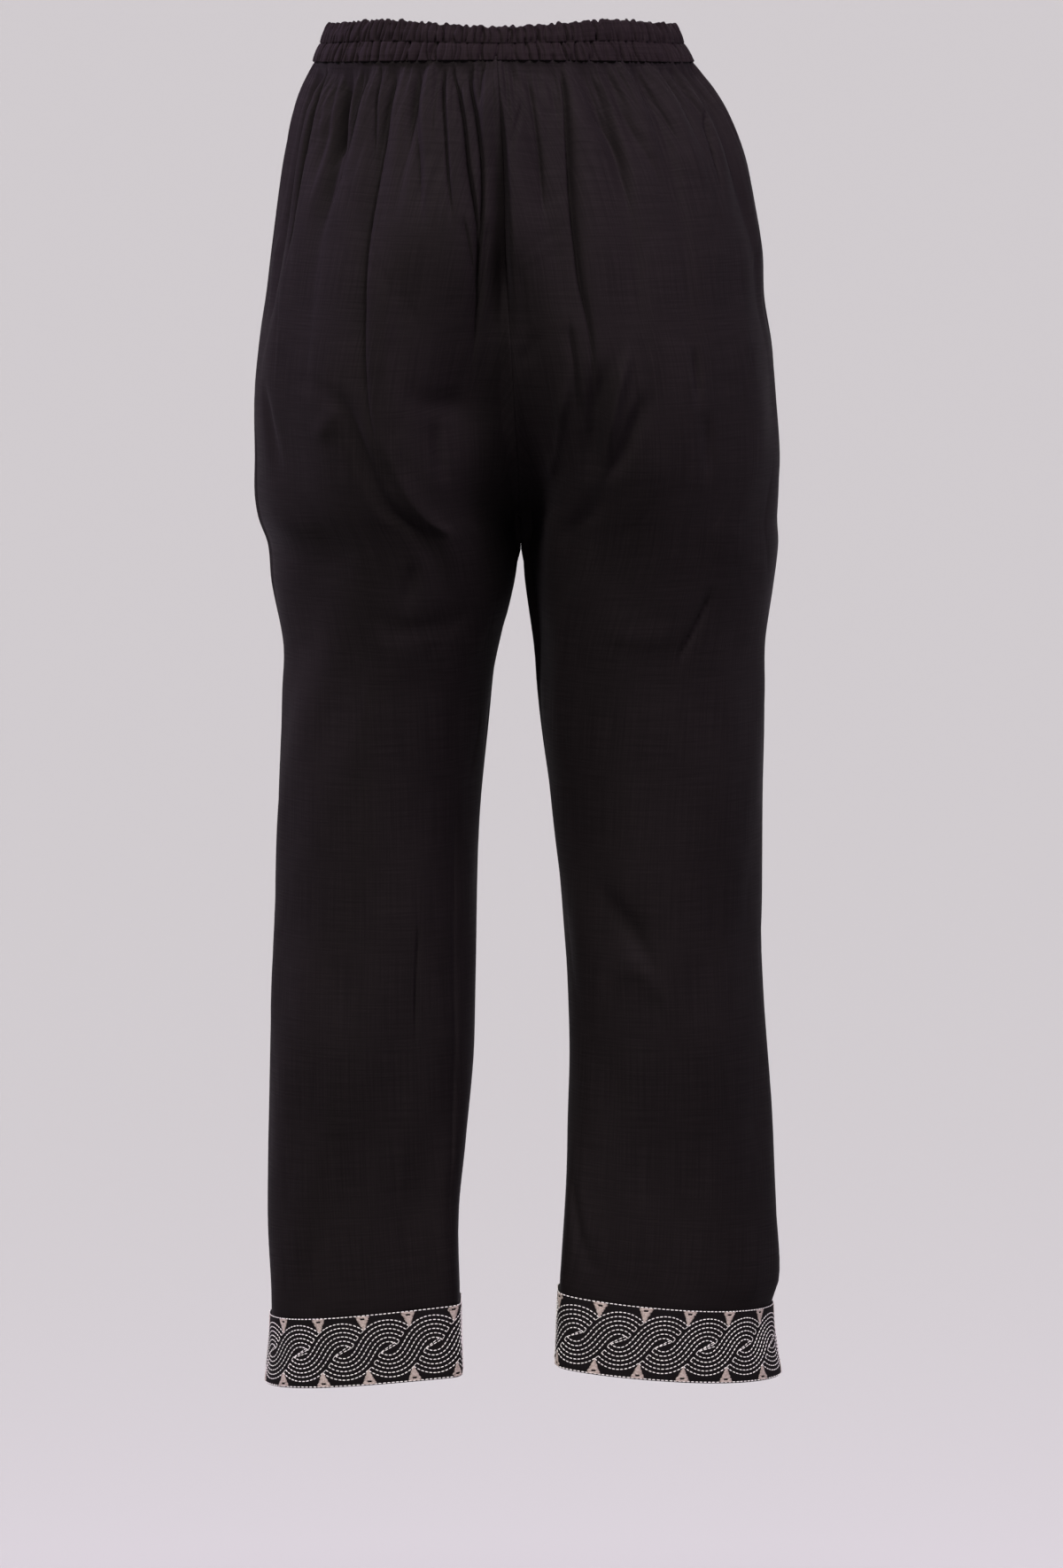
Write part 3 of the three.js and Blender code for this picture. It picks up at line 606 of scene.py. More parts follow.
def gatherField(x, z, head, lap, random):
    # troughs that start at the waist seam, uneven, and widen as they fade out below it: broad ones that reach
    # a hand's breadth down, with short narrow ones between, and tiny pleats at the seam itself
    depth = np.zeros(np.broadcast(x, z).shape)
    below = np.maximum(head - z, 0)
    look, breadth = gatherLook, panelLook["chartWidth"]
    for kind in look["kinds"]:
        count = int(breadth / kind["spacing"])
        places = (np.arange(count) + random.uniform(0.1, 0.9, count)) * breadth / count
        lengths = kind["length"] * (look["shortest"] + look["longer"] * random.uniform(0, 1, count) ** 2)
        depths = kind["depth"] * random.uniform(*look["depths"], count)
        widths = kind["width"] * random.uniform(*look["widths"], count)
        drifts = random.uniform(*look["drifts"], count)
        for place, length, size, width, drift in zip(places, lengths, depths, widths, drifts):
            fade = np.clip(1 - below / length, 0, 1) ** 1.1
            away = lap * (x - place - drift * below)
            sides = np.where(away > 0, look["wideSide"], look["steepSide"])
            spread = width * (1 + below / look["widening"]) * sides
            depth += size * fade * np.exp(-(np.abs(away) / spread) ** kind["power"])
    return depth


def wrinkleField(x, z, lap, random):
    # small faint creases strewn over the cloth, mostly running down it: closer and stronger round the hips.
    # Each is exp(-(along / length)^4 - (away / width)^1.4), on a line that bows a little.
    depth = np.zeros(np.broadcast(x, z).shape)
    look = wrinkleLook
    for _ in range(look["count"]):
        share = random.uniform() ** look["crowding"]
        cx, cz = random.uniform(0, panelLook["chartWidth"]), look["top"] - look["span"] * share
        turn = random.normal(0, look["lean"])
        turn += look["acrossTurn"] if random.uniform() < look["across"] else 0
        length, width = random.uniform(*look["lengths"]) * (1 + 0.6 * share), random.uniform(*look["widths"])
        along = (x - cx) * np.sin(turn) - (z - cz) * np.cos(turn)
        bow = look["bow"] * along ** 2
        away = lap * ((x - cx) * np.cos(turn) + (z - cz) * np.sin(turn) + bow)
        spread = width * np.where(away > 0, look["wideSide"], look["steepSide"])
        size = random.uniform(*look["sizes"]) * look["depth"] * (1 - 0.55 * share)
        depth += size * np.exp(-(along / length) ** 4 - (np.abs(away) / spread) ** 1.4)
    return depth


def waveField(x, z, random):
    # broad, shallow unevenness: a few slow sine waves, longer down the leg than across it
    depth = np.zeros(np.broadcast(x, z).shape)
    look = waveLook
    for _ in range(look["count"]):
        across, down = random.uniform(*look["across"]), random.uniform(*look["down"])
        turn, lean = random.uniform(0, 2 * np.pi), random.uniform(-look["lean"], look["lean"])
        wave = np.sin(2 * np.pi * (x + lean * z) / across + turn)
        depth += wave * np.sin(2 * np.pi * z / down + 2 * turn)
    return depth * look["depth"] / look["sum"]


def panelRows(leg):
    # heights of a panel's rows, from the waist seam to the hem band, with a few close together at both ends
    head = form["waistbandFoot"] - form["seamGap"] / 2
    foot = leg["hem"]["top"] + form["seamGap"] / 2
    near = np.array([0, 0.4, 0.9, 1.5])
    stops = [(head, panelLook["upperFoot"], panelLook["rowStepUpper"]),
             (panelLook["upperFoot"], panelLook["middleFoot"], panelLook["rowStepMiddle"]),
             (panelLook["middleFoot"], foot, panelLook["rowStepLower"])]
    parts = [np.linspace(a, b, int(round((a - b) / step)), endpoint=False) for a, b, step in stops]
    parts[0] = np.concatenate([head - near, parts[0][1:]])
    return np.concatenate(parts + [foot + near[::-1]])


def columnShares(count, length):
    # even columns, with a few close to each long seam for its rolled edge
    near = np.array([0, 0.35, 0.8, 1.5, 2.6]) / length
    return np.concatenate([near, np.linspace(4 / length, 1 - 4 / length, count), 1 - near[::-1]])


def creasedSurface(name, leg, towards, z, columns, random):
    # the leg's oval surface between its seams, pressed in along its own outward direction by the sum of its
    # creases, gathers, dents, waves and wrinkles, and pressed straight in by the centre hollows
    dense = (1 - np.cos(np.linspace(0, np.pi, 500))) / 2
    end = ovalAt(leg, z)["end"]
    angle = towards * np.maximum(dense[None, :] * end[:, None], 1e-6)
    raw = surfacePoint(leg, angle, z[:, None])
    shares = columnShares(columns, panelLook["breadth"])
    points, runs, (across, angle) = evenRows(raw, shares, np.broadcast_to(dense, angle.shape), angle)
    outwards = np.stack([leg["side"] * np.cos(angle), np.sin(angle), np.zeros_like(angle)], -1)
    normal = gridNormals(points, outwards)
    breadth, lap = panelLook["chartWidth"], -leg["side"]
    x, height = across * breadth, np.broadcast_to(z[:, None], across.shape)
    inward = panelLook["creaseDepth"] * creaseField(creases[name], x, height)
    inward += gatherField(x, height, form["waistbandFoot"], lap, random)
    inward += dentField(dents[name], x, height)
    inward += waveField(x, height, random) + wrinkleField(x, height, lap, random)
    most = panelLook["headDepth"] + panelLook["headGrowth"] * (z[0] - z)[:, None]
    inward = np.where(inward > 0, most * np.tanh(inward / most), inward)
    calm = smoothstep(np.minimum(runs, runs[:, -1:] - runs) / panelLook["calmReach"])
    fromEnds = np.minimum(z[0] - z, z - z[-1])[:, None]
    inward = inward * calm + panelLook["headRoll"] * np.exp(-fromEnds / panelLook["seamRollReach"])
    points = points - normal * inward[..., None]
    face, fromCentre = "back" if towards > 0 else "front", (1 - across) * breadth
    for hollow in centreHollows:
        fadeIn, fadeOut = hollow["fades"]
        drop = smoothstep((hollow["top"] - z) / fadeIn) * smoothstep((z - hollow["foot"]) / fadeOut)
        bell = np.exp(-(fromCentre / hollow["reach"][leg["name"]]) ** 2)
        points[..., 1] -= towards * hollow["depth"][face] * drop[:, None] * bell
    return points, normal, runs, angle


def rolledEdges(leg, towards, z, points, normal, runs):
    # Both long edges roll in: the outer one and the leg's inner one along the surface's own direction, and
    # the centre seam straight towards the other face. Under the crotch the two legs first touch.
    crotch, reach, ease = form["crotchHeight"], panelLook["seamRollReach"], panelLook["crotchEase"]
    below = smoothstep((crotch - z) / panelLook["touchReach"])[:, None, None]
    straight = np.array([0.0, -towards, 0.0])
    turnIn = straight * (1 - below) - normal[:, -1:] * below
    eased = 1 - ease["share"] * np.exp(-((z - crotch + ease["drop"]) / ease["reach"]) ** 2)
    edgeRoll = panelLook["seamRoll"] * eased[:, None, None]
    points = points - normal[:, :1] * panelLook["seamRoll"] * np.exp(-runs / reach)[..., None]
    fromInner = (runs[:, -1:] - runs)[..., None]
    points = points + turnIn * edgeRoll * np.exp(-fromInner / reach)
    gap = leg["side"] * (points[..., 0] - ovalAt(leg, z)["mid"][:, None])
    touch = smoothstep((z - crotch + panelLook["touchReach"]) / panelLook["touchFade"])[:, None]
    touch = touch * (z[:, None] < crotch + panelLook["touchTop"])
    nearInner = smoothstep(1 - fromInner[..., 0] / panelLook["touchBreadth"])
    points[..., 0] -= leg["side"] * gap[:, -1:] * touch * nearInner
    return points, turnIn


def seamAllowances(leg, towards, z, points, normal, runs, angle, turnIn):
    # All four edges carry on inwards. At the centre seam the right one passes behind the left one, and at the
    # side seam the back one behind the front one, which closes both seams.
    deep = panelLook["allowance"]
    onCentre = (z > form["crotchHeight"])[:, None, None]
    isLeft, isBack = leg["side"] > 0, towards > 0
    cross = np.array([-0.3 if isLeft else panelLook["centreTuck"], 0.0, 0.0]) * onCentre
    tuck = np.array([0.0, -panelLook["sideTuck"] if isBack else 0.0, 0.0])
    further = points[:, -1:] + turnIn * (1.6 if isLeft else 2.6)
    points = np.concatenate([
        points[:, :1] - (deep + 0.8) * normal[:, :1] + tuck, points[:, :1] - deep * normal[:, :1],
        points, further, further + cross + 0.4 * turnIn], 1)
    normal = np.pad(normal, ((0, 0), (2, 2), (0, 0)), mode="edge")
    lift, sink = np.array([0, 0, deep]), panelLook["allowanceSink"]
    head, foot = points[:1] - normal[:1] * sink + lift, points[-1:] - normal[-1:] * sink - lift
    points = np.concatenate([head, points, foot], 0)
    start, stop = runs[:, :1], runs[:, -1:]
    runs = np.concatenate([start - deep - 2, start - deep, runs, stop + 2, stop + deep], 1)
    runs = np.pad(runs, ((1, 1), (0, 0)), mode="edge")
    angle = np.pad(angle, ((1, 1), (2, 2)), mode="edge")
    heights = np.concatenate([z[:1] + deep, z, z[-1:] - deep])
    return points, runs, angle, heights


def keptOnItsSide(leg, towards, points, angle, heights):
    # no point crosses the centre seam or the line that divides back from front, but the allowances that tuck
    # behind a neighbour's do
    oval = ovalAt(leg, heights[:, None])
    divide = dividingY(leg, oval, angle, heights[:, None])
    touching = heights > form["crotchHeight"] - panelLook["touchReach"]
    clear = np.where(touching, -0.02, 0.1)[:, None]
    fromMid = leg["side"] * (points[:, :-1, 0] - oval["mid"])
    points[:, :-1, 0] = oval["mid"] + leg["side"] * np.maximum(fromMid, clear)
    fromDivide = towards * (points[:, 1:, 1] - divide[:, 1:])
    points[:, 1:, 1] = divide[:, 1:] + towards * np.maximum(fromDivide, 0.1)
    return points


def legPanel(name, leg, towards, columns, seed):
    # one panel: its creased surface, its long edges rolled in, and a seam allowance along all four edges
    z = panelRows(leg)
    points, normal, runs, angle = creasedSurface(name, leg, towards, z, columns, np.random.default_rng(seed))
    points, turnIn = rolledEdges(leg, towards, z, points, normal, runs)
    points, runs, angle, heights = seamAllowances(leg, towards, z, points, normal, runs, angle, turnIn)
    points = keptOnItsSide(leg, towards, points, angle, heights)
    uv = np.stack([runs * 0.001, np.broadcast_to(heights[:, None] * 0.001, runs.shape)], -1)
    faces = gridFaces(points.shape[0], points.shape[1], flip=leg["side"] * towards < 0)
    piece = meshPiece(name + "_cloth", points, faces, trouserCotton, uv)
    wall = piece.modifiers.new("wall", "SOLIDIFY")
    wall.thickness, wall.offset = panelLook["clothThickness"] * 0.001, -1.0
    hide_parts(name)
    return piece


for number, (name, side, towards) in enumerate([("back_left", "left", 1), ("back_right", "right", 1),
                                                ("front_left", "left", -1), ("front_right", "right", -1)]):
    columns = panelLook["backColumns"] if towards > 0 else panelLook["frontColumns"]
    piece = legPanel(name, legs[side], towards, columns, 11 + number)
    print("panel", name, len(piece.data.polygons), "faces")

# what can be changed on the waistband, in millimetres
waistLook = {
    "columns": 1260, "wall": 2.6, "channelBulge": 0.9,
    "pinch": 0.5, "pinchReach": 0.012,  # at the two seams, with its reach as a share of the height
    "puckerSpacing": 3.9, "puckerDepth": 3.7, "puckerWidth": 0.75,
    "leans": (-2.2, 2.2), "depths": (0.4, 1.25), "widths": (0.7, 1.5), "hollows": (0.25, 1.0),
    "bows": (-1.2, 1.2),
    "ruffle": 1.1, "ruffleWaves": (61, 83, 104, 127, 37, 149),
    # the top edge dips over the centre back and stands up on both sides of it
    "edgeMiddle": 3.0, "dip": 2.7, "dipReach": 38.0, "ears": 3.0, "earPlace": 86.0, "earReach": 30.0,
    "foldOver": [(0.35, 0.5), (0.95, 0.7), (1.6, 0.5)],  # inwards and upwards, over the top edge
    "innerPucker": 0.35,                                 # the inner face's share of the gathers
    "cut": (0.98, 0.028),                                # in metres
}


def waistPoint(turn, z):
    # the smooth waist surface at an angle round it and a height
    angle = np.arctan2(np.sin(turn), np.abs(np.cos(turn)))
    left, right = surfacePoint(legs["left"], angle, z), surfacePoint(legs["right"], angle, z)
    return np.where((np.cos(turn) >= 0)[..., None], left, right)


def puckerField(run, v, girth, random):
    # irregular gathers across one channel, v from 0 at its lower seam to 1 at its upper: valleys that are
    # deepest at both seams, lean a little, and sometimes fade in mid channel
    look = waistLook
    count = int(girth / look["puckerSpacing"])
    places = (np.arange(count) + random.uniform(0.05, 0.95, count)) * girth / count
    leans = random.uniform(*look["leans"], count)
    depths = look["puckerDepth"] * random.uniform(*look["depths"], count)
    widths = look["puckerWidth"] * random.uniform(*look["widths"], count)
    hollows = random.uniform(*look["hollows"], count)
    bows = random.uniform(*look["bows"], count)
    depth = np.zeros(np.broadcast(run, v).shape)
    for place, lean, size, width, hollow, bow in zip(places, leans, depths, widths, hollows, bows):
        away = run - place - lean * (v - 0.5) - bow * np.sin(np.pi * v)
        away = (away + girth / 2) % girth - girth / 2
        along = 1 - (1 - hollow) * np.sin(np.pi * v) ** 2
        depth += size * along * np.exp(-(np.abs(away) / width) ** 1.25)
    return depth


def topEdgeWave(x, turn):
    # how far the top edge stands up at the back: minus one bell at the centre plus two bells beside it
    look = waistLook
    dip = -look["dip"] * np.exp(-(x / look["dipReach"]) ** 2)
    ears = look["ears"] * np.exp(-((np.abs(x) - look["earPlace"]) / look["earReach"]) ** 2)
    return np.where(np.sin(turn)[None, :] > 0, dip + ears, 0)


def waistband():
    # a tube round the waist: up its outer face over two gathered channels, over the ruffled top edge, and
    # down its inner face with a softer copy of the gathers
    look, columns = waistLook, waistLook["columns"]
    random = np.random.default_rng(5)
    turn = np.linspace(0, 2 * np.pi, columns, endpoint=False)
    ring = waistPoint(turn, np.zeros(columns))
    steps = np.linalg.norm(np.roll(ring, -1, axis=0) - ring, axis=1)
    run, girth = np.concatenate([[0], np.cumsum(steps)[:-1]]), steps.sum()
    # rows up the outer face, from 0 to 1, closer together at the three seams
    v = np.concatenate([[0, 0.008, 0.02, 0.04], np.linspace(0.07, 0.46, 11), [0.48, 0.49, 0.5, 0.51, 0.52],
                        np.linspace(0.55, 0.95, 12), [0.97, 0.985, 1.0]])[:, None]
    top, foot = form["waistbandTop"], form["waistbandFoot"] + form["seamGap"] / 2
    z = foot + v * (top - foot)
    lower = puckerField(run[None, :], np.clip(v * 2, 0, 1), girth, random)
    upper = puckerField(run[None, :], np.clip(v * 2 - 1, 0, 1), girth, random)
    puckers = lower + (upper - lower) * smoothstep((v - 0.47) / 0.06)
    swell = np.sin(np.pi * np.where(v < 0.5, v * 2, v * 2 - 1))
    pinch = look["pinch"] * (np.exp(-np.abs(v - 0.5) / look["pinchReach"]) + np.exp(-v / look["pinchReach"]))
    phases = random.uniform(0, 2 * np.pi, len(look["ruffleWaves"]))
    waves = [np.sin(2 * np.pi * run / girth * k + phase) for k, phase in zip(look["ruffleWaves"], phases)]
    ruffle = look["ruffle"] * sum(waves)[None, :] / 3
    nearTop = smoothstep((v - 0.7) / 0.3)
    edgeWave = topEdgeWave(ring[None, :, 0] - look["edgeMiddle"], turn)
    lift = edgeWave * smoothstep((v - 0.1) / 0.9) + ruffle * nearTop * 0.9
    lift = np.stack([0 * lift, 0 * lift, lift], -1)
    out = look["channelBulge"] * swell ** 0.8 - pinch - puckers * (0.75 + 0.25 * swell)
    out = out + ruffle * nearTop * 0.5
    away = np.stack([np.cos(turn), np.sin(turn), np.zeros(columns)], -1)[None]
    base = waistPoint(*np.broadcast_arrays(turn, z))
    outer = base + away * out[..., None] + lift
    over = [outer[-1:] + away * -inwards + np.array([0, 0, upwards]) for inwards, upwards in look["foldOver"]]
    inner = []
    for level in (0.97, 0.9, 0.8, 0.7, 0.6, 0.5, 0.4, 0.3, 0.2, 0.1, 0.0):
        k = int(np.argmin(np.abs(v[:, 0] - level)))
        thick = look["wall"] + look["innerPucker"] * puckers[k:k + 1, :, None]
        inner.append(base[k:k + 1] - away * thick + lift[k:k + 1])
    points = np.concatenate([outer] + over + inner, 0)
    height = np.concatenate([[0], np.cumsum(np.linalg.norm(np.diff(points[:, 0], axis=0), axis=1))])
    uv = np.stack(np.broadcast_arrays(run[None, :] * 0.001, height[:, None] * 0.001), -1)
    piece = meshPiece("waistband_cloth", points, tubeFaces(len(points), columns), waistCotton, uv)
    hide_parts("waistband")
    return piece, girth


waistPiece, waistGirth = waistband()
print("waistband", len(waistPiece.data.polygons), "faces, girth", round(waistGirth))

# what can be changed on the hem bands' cloth, in millimetres
bandLook = {
    "columns": 216, "proud": 0.7, "wall": 1.9, "edgeRound": 0.8,
    "edgeReach": 0.012,  # of the rounding, as a share of the height
    "cutHeight": 0.052,  # in metres
    # where the first triangle stands past the outer seam, how far the pattern leans, and which way it runs
    "left": {"phase": 43.0, "lean": 6.2, "way": 1}, "right": {"phase": 32.5, "lean": 8.0, "way": -1},
    "leanHeight": 46.0,  # over which the lean is measured
}


def bandTable(leg):
    # the band's smooth outer surface as a table: rows from top to foot, and columns at even shares of the
    # girth from -0.5 to 0.5, with the outer seam at 0 and the back positive
    hem = leg["hem"]
    z = np.linspace(hem["top"], hem["foot"], 9)
    half = (1 - np.cos(np.linspace(0, np.pi, 600))) / 2 * np.pi
    angle = np.concatenate([-half[::-1], half[1:]])
    angle = np.where(np.abs(angle) < 1e-6, 1e-6, angle)
    raw = surfacePoint(leg, angle[None, :], z[:, None])
    runs = alongRows(raw)
    middle = len(half) - 1
    shares = (runs - runs[:, middle:middle + 1]) / runs[:, -1:]
    even = np.linspace(-0.5, 0.5, 1025)
    low, high = shares[:, :1], shares[:, -1:]
    wanted = low + (even[None, :] + 0.5) * (high - low)
    read = [np.array([np.interp(w, s, c) for w, s, c in zip(wanted, shares, raw[..., k])]) for k in range(3)]
    return np.stack(read, -1), float(runs[:, -1].mean()), -low.mean()


def readBand(band, share, depth):
    # the table at a share of the girth, 0 at the inner seam, and a depth from 0 at the top to 1 at the foot:
    # a mean of the four entries around it, weighted by nearness
    table = band["table"]
    rows, columns = table.shape[0] - 1, table.shape[1] - 1
    a, b = (share % 1.0) * columns, np.clip(depth, -0.2, 1.2) * rows
    j, i = np.clip(np.floor(a).astype(int), 0, columns - 1), np.clip(np.floor(b).astype(int), 0, rows - 1)
    fa, fb = (a - j)[..., None], (b - i)[..., None]
    upper = table[i, j] * (1 - fa) + table[i, j + 1] * fa
    lower = table[i + 1, j] * (1 - fa) + table[i + 1, j + 1] * fa
    return upper * (1 - fb) + lower * fb


def bandNormal(band, share, depth):
    # the cross product of a short step round the band and a short step down it, turned outwards
    step, drop = 0.004, 0.05
    across = readBand(band, share + step, depth) - readBand(band, share - step, depth)
    down = readBand(band, share, depth + drop) - readBand(band, share, depth - drop)
    normal = np.cross(across, down) * band["turned"]
    return normal / np.maximum(np.linalg.norm(normal, axis=-1, keepdims=True), 1e-9)


def makeBand(name):
    # one band's table, girth and height, and the sign that turns its normals outwards
    hem = legs[name]["hem"]
    table, girth, outerShare = bandTable(legs[name])
    band = {"table": table, "girth": girth, "height": hem["top"] - hem["foot"], "turned": 1.0,
            "outerShare": outerShare}
    somewhere = np.array([0.25]), np.array([0.5])
    away = readBand(band, *somewhere) - table.mean(axis=(0, 1))
    band["turned"] = float(np.sign((bandNormal(band, *somewhere) * away).sum()))
    return band


bands = {name: makeBand(name) for name in legs}


def bandCloth(name, band):
    # up the outer face from the folded hem to the top edge, and down the inner face, slightly padded outside
    # and rounded at both edges
    share = np.linspace(0, 1, bandLook["columns"], endpoint=False)
    height, gap, reach = band["height"], form["seamGap"] / 2, bandLook["edgeReach"]
    outerDepth = np.concatenate([[1.0, 0.99, 0.97], np.linspace(0.94, 0.06, 34), [0.03, 0.012, gap / height]])
    innerDepth = np.concatenate([[0.006, 0.04], np.linspace(0.1, 0.9, 9), [0.97, 0.995]])
    rounded = bandLook["edgeRound"] * (np.exp(-(1 - outerDepth) / reach) + np.exp(-outerDepth / reach))
    depth = np.concatenate([outerDepth, innerDepth])
    out = np.concatenate([bandLook["proud"] - rounded,
                          np.full(len(innerDepth), bandLook["proud"] - bandLook["wall"])])
    shares, depths = np.meshgrid(share, depth)
    points = readBand(band, shares, depths) + bandNormal(band, shares, depths) * out[:, None, None]
    lengths = np.concatenate([[0], np.cumsum(np.linalg.norm(np.diff(points[:, 0], axis=0), axis=1))])
    uv = np.stack(np.broadcast_arrays(shares * band["girth"] * 0.001, lengths[:, None] * 0.001), -1)
    faces = tubeFaces(len(depth), len(share), flip=band["turned"] < 0)
    piece = meshPiece("cuff_" + name + "_cloth", points, faces, bandCotton, uv)
    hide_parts("cuff_" + name)
    return piece


# what can be changed on the rope pattern, in millimetres
rope = {
    "repeats": 13,
    "strandHeight": 11.0,  # of a strand's centre line above and below the band's middle
    "crestLean": 0.13,     # how far its crests lean towards the crossings
    "spacing": 3.1,        # between neighbouring lines
    "clearance": 9.3,      # half the width that a rising strand keeps free of the lines behind it
    "stitch": 2.3, "gap": 0.72, "threadRadius": 0.37, "travelRadius": 0.2,
    "eyeShare": 0.85, "edgeShare": 0.95,  # how thin the thread is in the eyes and along both edges
    "wobble": 0.25, "eyeWobble": 0.3,
    "topLine": 0.5, "footLine": 0.9,      # from the band's edges to its edge lines
}
# the small triangles along both edges: rows of satin stitch that part round an eye
satin = {
    "height": 10.5, "halfBase": 4.9, "pitch": 0.68, "fromEdge": 1.2, "eyeFrom": 0.9, "eyeTo": 2.3,
    "eyeHalf": 1.35, "unevenness": 0.3, "slant": 0.25, "lift": 0.1,
}
# one stitch: its sides, how flat it lies, how deep its ends sink, and places along it with their thickness
stitchLook = {
    "sides": 5, "flatness": 0.75, "sink": 0.22, "tip": 1.02, "lift": 0.12,
    "stations": [(-0.86, 0.62), (-0.45, 1.0), (0.45, 1.0), (0.86, 0.62)],
}


def strandPoint(pitch, phase, offset):
    # a leaning sine wave, moved sideways by an offset at right angles to itself
    u = pitch / np.pi * (phase - rope["crestLean"] * np.sin(2 * phase))
    h = rope["strandHeight"] * np.sin(phase)
    du = pitch / np.pi * (1 - 2 * rope["crestLean"] * np.cos(2 * phase))
    dh = rope["strandHeight"] * np.cos(phase)
    size = np.hypot(du, dh)
    return np.stack([u - offset * dh / size, h + offset * du / size], -1)


def sideDistance(pitch, points, k):
    # how far points lie to the upper left of the rising part of strand k, with minus to its lower right
    phase = np.linspace(-0.5 * np.pi, 0.5 * np.pi, 300)
    line = strandPoint(pitch, phase, 0.0) + [k * pitch, 0]
    way = strandPoint(pitch, phase + 1e-3, 0.0) + [k * pitch, 0] - line
    gaps = points[:, None] - line
    near = np.argmin((gaps ** 2).sum(-1), axis=1)
    gap, way = gaps[np.arange(len(points)), near], way[near]
    return (way[:, 0] * gap[:, 1] - way[:, 1] * gap[:, 0]) / np.hypot(way[:, 0], way[:, 1])


def strandLines(pitch):
    # the seven lines of one strand: five run through its crossing, and the outermost ones only over one
    # crest. Each stops where the next strand or the last one rises in front of it.
    lines = []
    for m in range(-3, 4):
        phase = np.linspace(-np.pi if m < 3 else 0, np.pi if m > -3 else 0, 1000)
        points = strandPoint(pitch, phase, m * rope["spacing"])
        keep = points[:, 0] > 0 if m == 3 else points[:, 0] < 0 if m == -3 else np.ones(len(points), bool)
        ahead = (phase > 0.6) & (sideDistance(pitch, points, 1) < rope["clearance"])
        behind = (phase < -0.6) & (sideDistance(pitch, points, -1) > -rope["clearance"])
        keep &= phase < (phase[ahead].min() if ahead.any() else 9)
        keep &= phase > (phase[behind].max() if behind.any() else -9)
        lines.append(points[keep])
    return lines


def alongLine(line, run, distances):
    # the places on a line at given distances from its start
    return np.stack([np.interp(distances, run, line[:, k]) for k in (0, 1)], -1)


def runningStitches(line, random):
    # even stitches along a line, each a start and an end
    run = np.concatenate([[0], np.cumsum(np.hypot(*np.diff(line, axis=0).T))])
    count = max(1, int(round((run[-1] + rope["gap"]) / (rope["stitch"] + rope["gap"]))))
    step = (run[-1] + rope["gap"]) / count
    starts = step * np.arange(count) + random.uniform(-0.12, 0.12, count)
    ends = starts + step - rope["gap"] + random.uniform(-0.1, 0.1, count)
    return alongLine(line, run, starts), alongLine(line, run, ends)


def travelThreads(lines):
    # thin threads that travel from one line's end to the next along each strand's edge
    tips = [(lines[m][-1], lines[m - 1][-1]) for m in (6, 4, 2)]
    tips += [(lines[m][0], lines[m + 1][0]) for m in (0, 2, 4)]
    return np.array([tip[0] for tip in tips]), np.array([tip[1] for tip in tips])


def threadPattern(name, band):
    # all white stitches of one band as starts, ends and radii in the band's flat chart: u round it, h up it
    random = np.random.default_rng(31 if name == "left" else 47)
    pitch = band["girth"] / rope["repeats"]
    lines = strandLines(pitch)
    starts, ends, radii = [], [], []

    def add(stitches, radius, shift=0.0):
        starts.append(stitches[0] + shift)
        ends.append(stitches[1] + shift)
        radii.append(np.full(len(stitches[0]), radius))

    for k in range(rope["repeats"]):
        shift = np.array([k * pitch, 0])
        wobble = random.uniform(-rope["wobble"], rope["wobble"], 2)
        for line in lines:
            add(runningStitches(line + shift + wobble * [1, 0.5], random), rope["threadRadius"])
        add(travelThreads(lines), rope["travelRadius"], shift)
        # two or three short lines that meet, in the eye between the strands
        eye = shift + [pitch / 2, 0.2]
        for m in range(2 if random.uniform() < 0.7 else 3):
            far = eye + [4.6 + 0.5 * m, 3.6 - 1.7 * m]
            near = eye + [-5.6, -2.6 - 0.3 * m]
            loose = random.uniform(-rope["eyeWobble"], rope["eyeWobble"], 2)
            eyeLine = np.linspace(near, far, 12) + loose
            add(runningStitches(eyeLine, random), rope["threadRadius"] * rope["eyeShare"])
    edge = band["height"] / 2
    for level in (edge - rope["topLine"], -edge + rope["footLine"]):
        whole = np.stack([np.linspace(0, band["girth"], 400), np.full(400, level)], -1)
        add(runningStitches(whole, random), rope["threadRadius"] * rope["edgeShare"])
    return np.concatenate(starts), np.concatenate(ends), np.concatenate(radii)


def satinPattern(name, band):
    # the triangles that hang from the top edge and stand on the foot: rows of side-by-side threads that
    # shorten towards the tip and part round a small eye
    random = np.random.default_rng(67 if name == "left" else 71)
    pitch, edge = band["girth"] / rope["repeats"], band["height"] / 2 - satin["fromEdge"]
    rows = np.arange(0, satin["height"] - 0.3, satin["pitch"])
    half = satin["halfBase"] * (1 - rows / satin["height"]) + 0.25
    starts, ends = [], []
    for k in range(rope["repeats"]):
        for up in (1, -1):
            uneven = random.uniform(-satin["unevenness"], satin["unevenness"], (len(rows), 2))
            u, slant = k * pitch, random.uniform(-satin["slant"], satin["slant"])
            for row, width, (a, b) in zip(rows, half, uneven):
                h = up * (edge - row)
                inEye = satin["eyeFrom"] < row < satin["eyeTo"]
                for side in ((-1, 1) if inEye else (0,)):
                    left = u - width + a if side <= 0 else u + satin["eyeHalf"]
                    right = u + width + b if side >= 0 else u - satin["eyeHalf"]
                    starts.append((left, h - slant))
                    ends.append((right, h + slant))
    return np.array(starts), np.array(ends), np.full(len(starts), satin["pitch"] * 0.56)


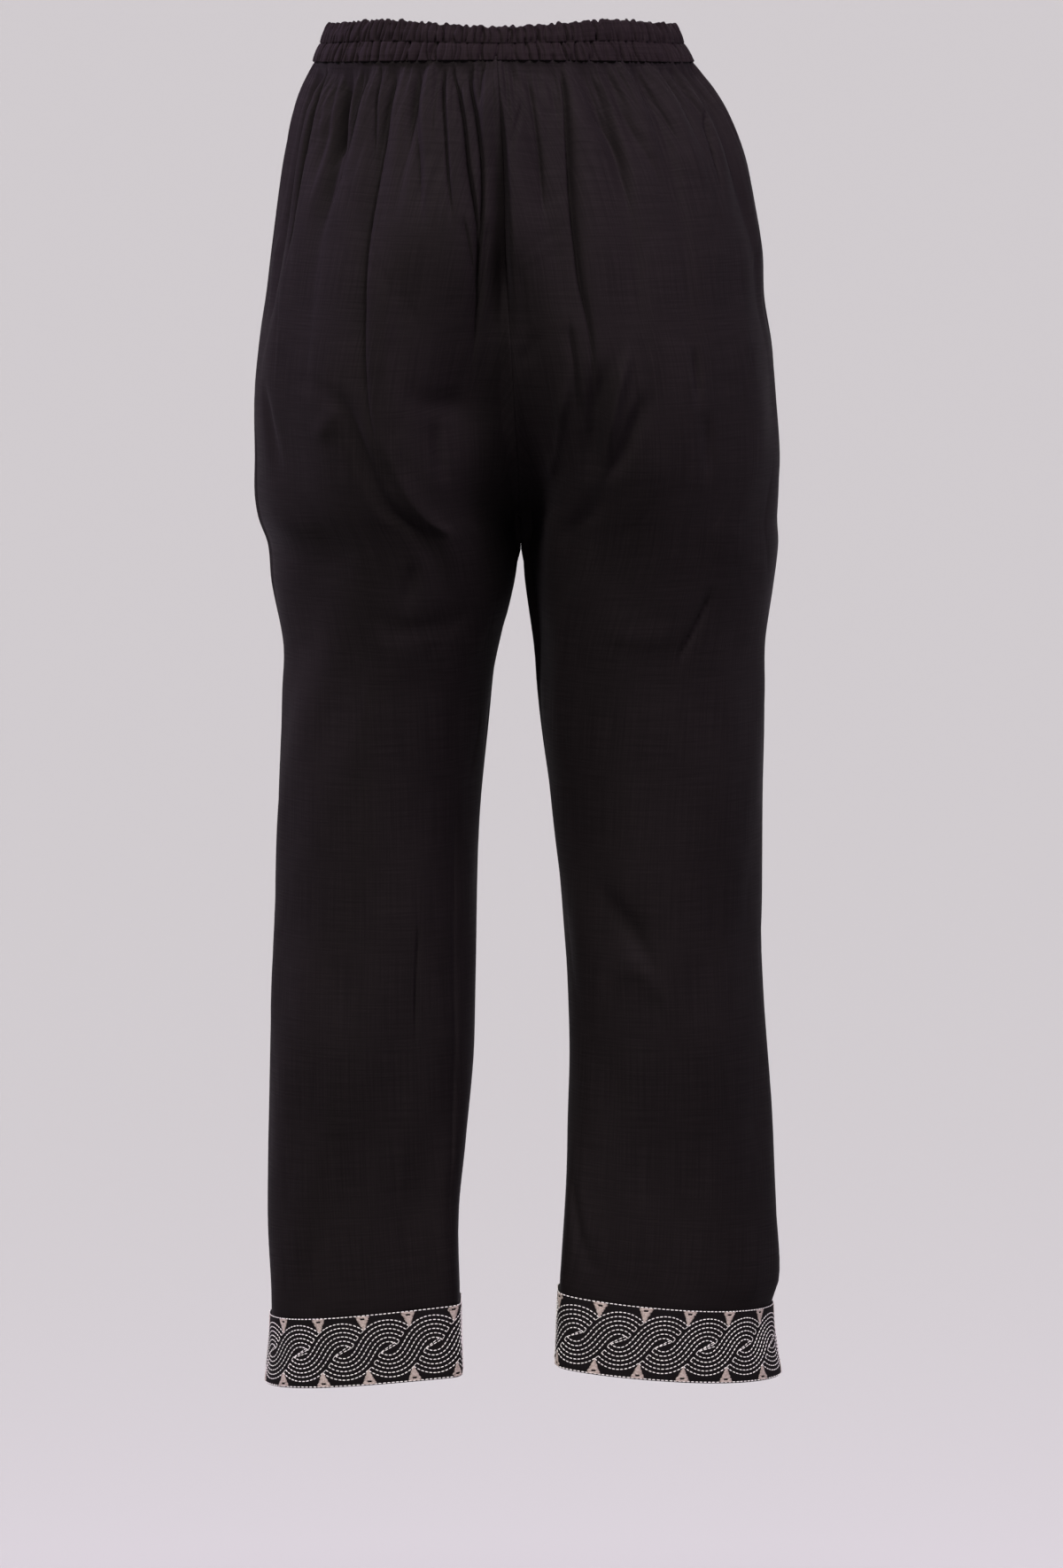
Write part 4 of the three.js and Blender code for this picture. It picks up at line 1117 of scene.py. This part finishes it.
def ontoBand(name, band, flat):
    # a place in the flat chart as a share of the girth and a depth down the band. The chart leans a little,
    # as the band does on the leg: one way over the back and the other over the front.
    look = bandLook[name]
    u, h = look["way"] * flat[..., 0] + look["phase"], flat[..., 1]
    share = u / band["girth"]
    lean = look["lean"] * -h / bandLook["leanHeight"] * np.sin(2 * np.pi * share)
    return band["outerShare"] + share + lean / band["girth"], 0.5 - h / band["height"]


def stitchFaces(count, rings, sides):
    # the faces of many equal beads: a fan of triangles at both ends and quads between neighbouring rings
    last = 1 + rings * sides
    fans, quads = [], []
    for j in range(sides):
        k = (j + 1) % sides
        fans += [(0, 1 + k, 1 + j), (last, last - sides + j, last - sides + k)]
    for r in range(rings - 1):
        low, high = 1 + r * sides, 1 + (r + 1) * sides
        quads += [(low + j, low + (j + 1) % sides, high + (j + 1) % sides, high + j) for j in range(sides)]
    shift = np.arange(count)[:, None, None] * (last + 1)
    return [face for kind in (fans, quads)
            for face in (np.array(kind)[None] + shift).reshape(-1, len(kind[0])).tolist()]


def stitchMesh(name, bandName, pattern, material, lift):
    # every stitch is a short bead of thread: rings of a few points along it, pulled in at both ends, and
    # flattened against the cloth
    look, band = stitchLook, bands[bandName]
    starts, ends, radii = pattern
    a, b = (readBand(band, *ontoBand(bandName, band, tip)) for tip in (starts, ends))
    share, depth = ontoBand(bandName, band, (starts + ends) / 2)
    normal = bandNormal(band, share, depth)
    centre = readBand(band, share, depth) + normal * (bandLook["proud"] + lift)
    along = b - a
    half = np.linalg.norm(along, axis=1, keepdims=True) / 2
    along = along / np.maximum(2 * half, 1e-6)
    across = np.cross(normal, along)
    turn = 2 * np.pi * np.arange(look["sides"]) / look["sides"]
    circle = (across[:, None] * np.cos(turn)[None, :, None]
              + normal[:, None] * look["flatness"] * np.sin(turn)[None, :, None])
    rings = [centre[:, None] + along[:, None] * half[:, None] * place + radii[:, None, None] * thick * circle
             for place, thick in look["stations"]]
    sunk = normal * look["sink"]
    tips = [(centre + along * half * way - sunk)[:, None] for way in (-look["tip"], look["tip"])]
    points = np.concatenate([tips[0]] + rings + [tips[1]], axis=1)
    piece = meshPiece(name, points, stitchFaces(len(points), len(rings), look["sides"]), material)
    return piece


for name, band in bands.items():
    cloth = bandCloth(name, band)
    white = stitchMesh(f"rope_stitches_{name}", name, threadPattern(name, band), whiteThread,
                       stitchLook["lift"])
    beige = stitchMesh(f"satin_triangles_{name}", name, satinPattern(name, band), beigeThread,
                       satin["lift"])
    print("hem band", name, "girth", round(band["girth"], 1), "stitch faces", len(white.data.polygons))
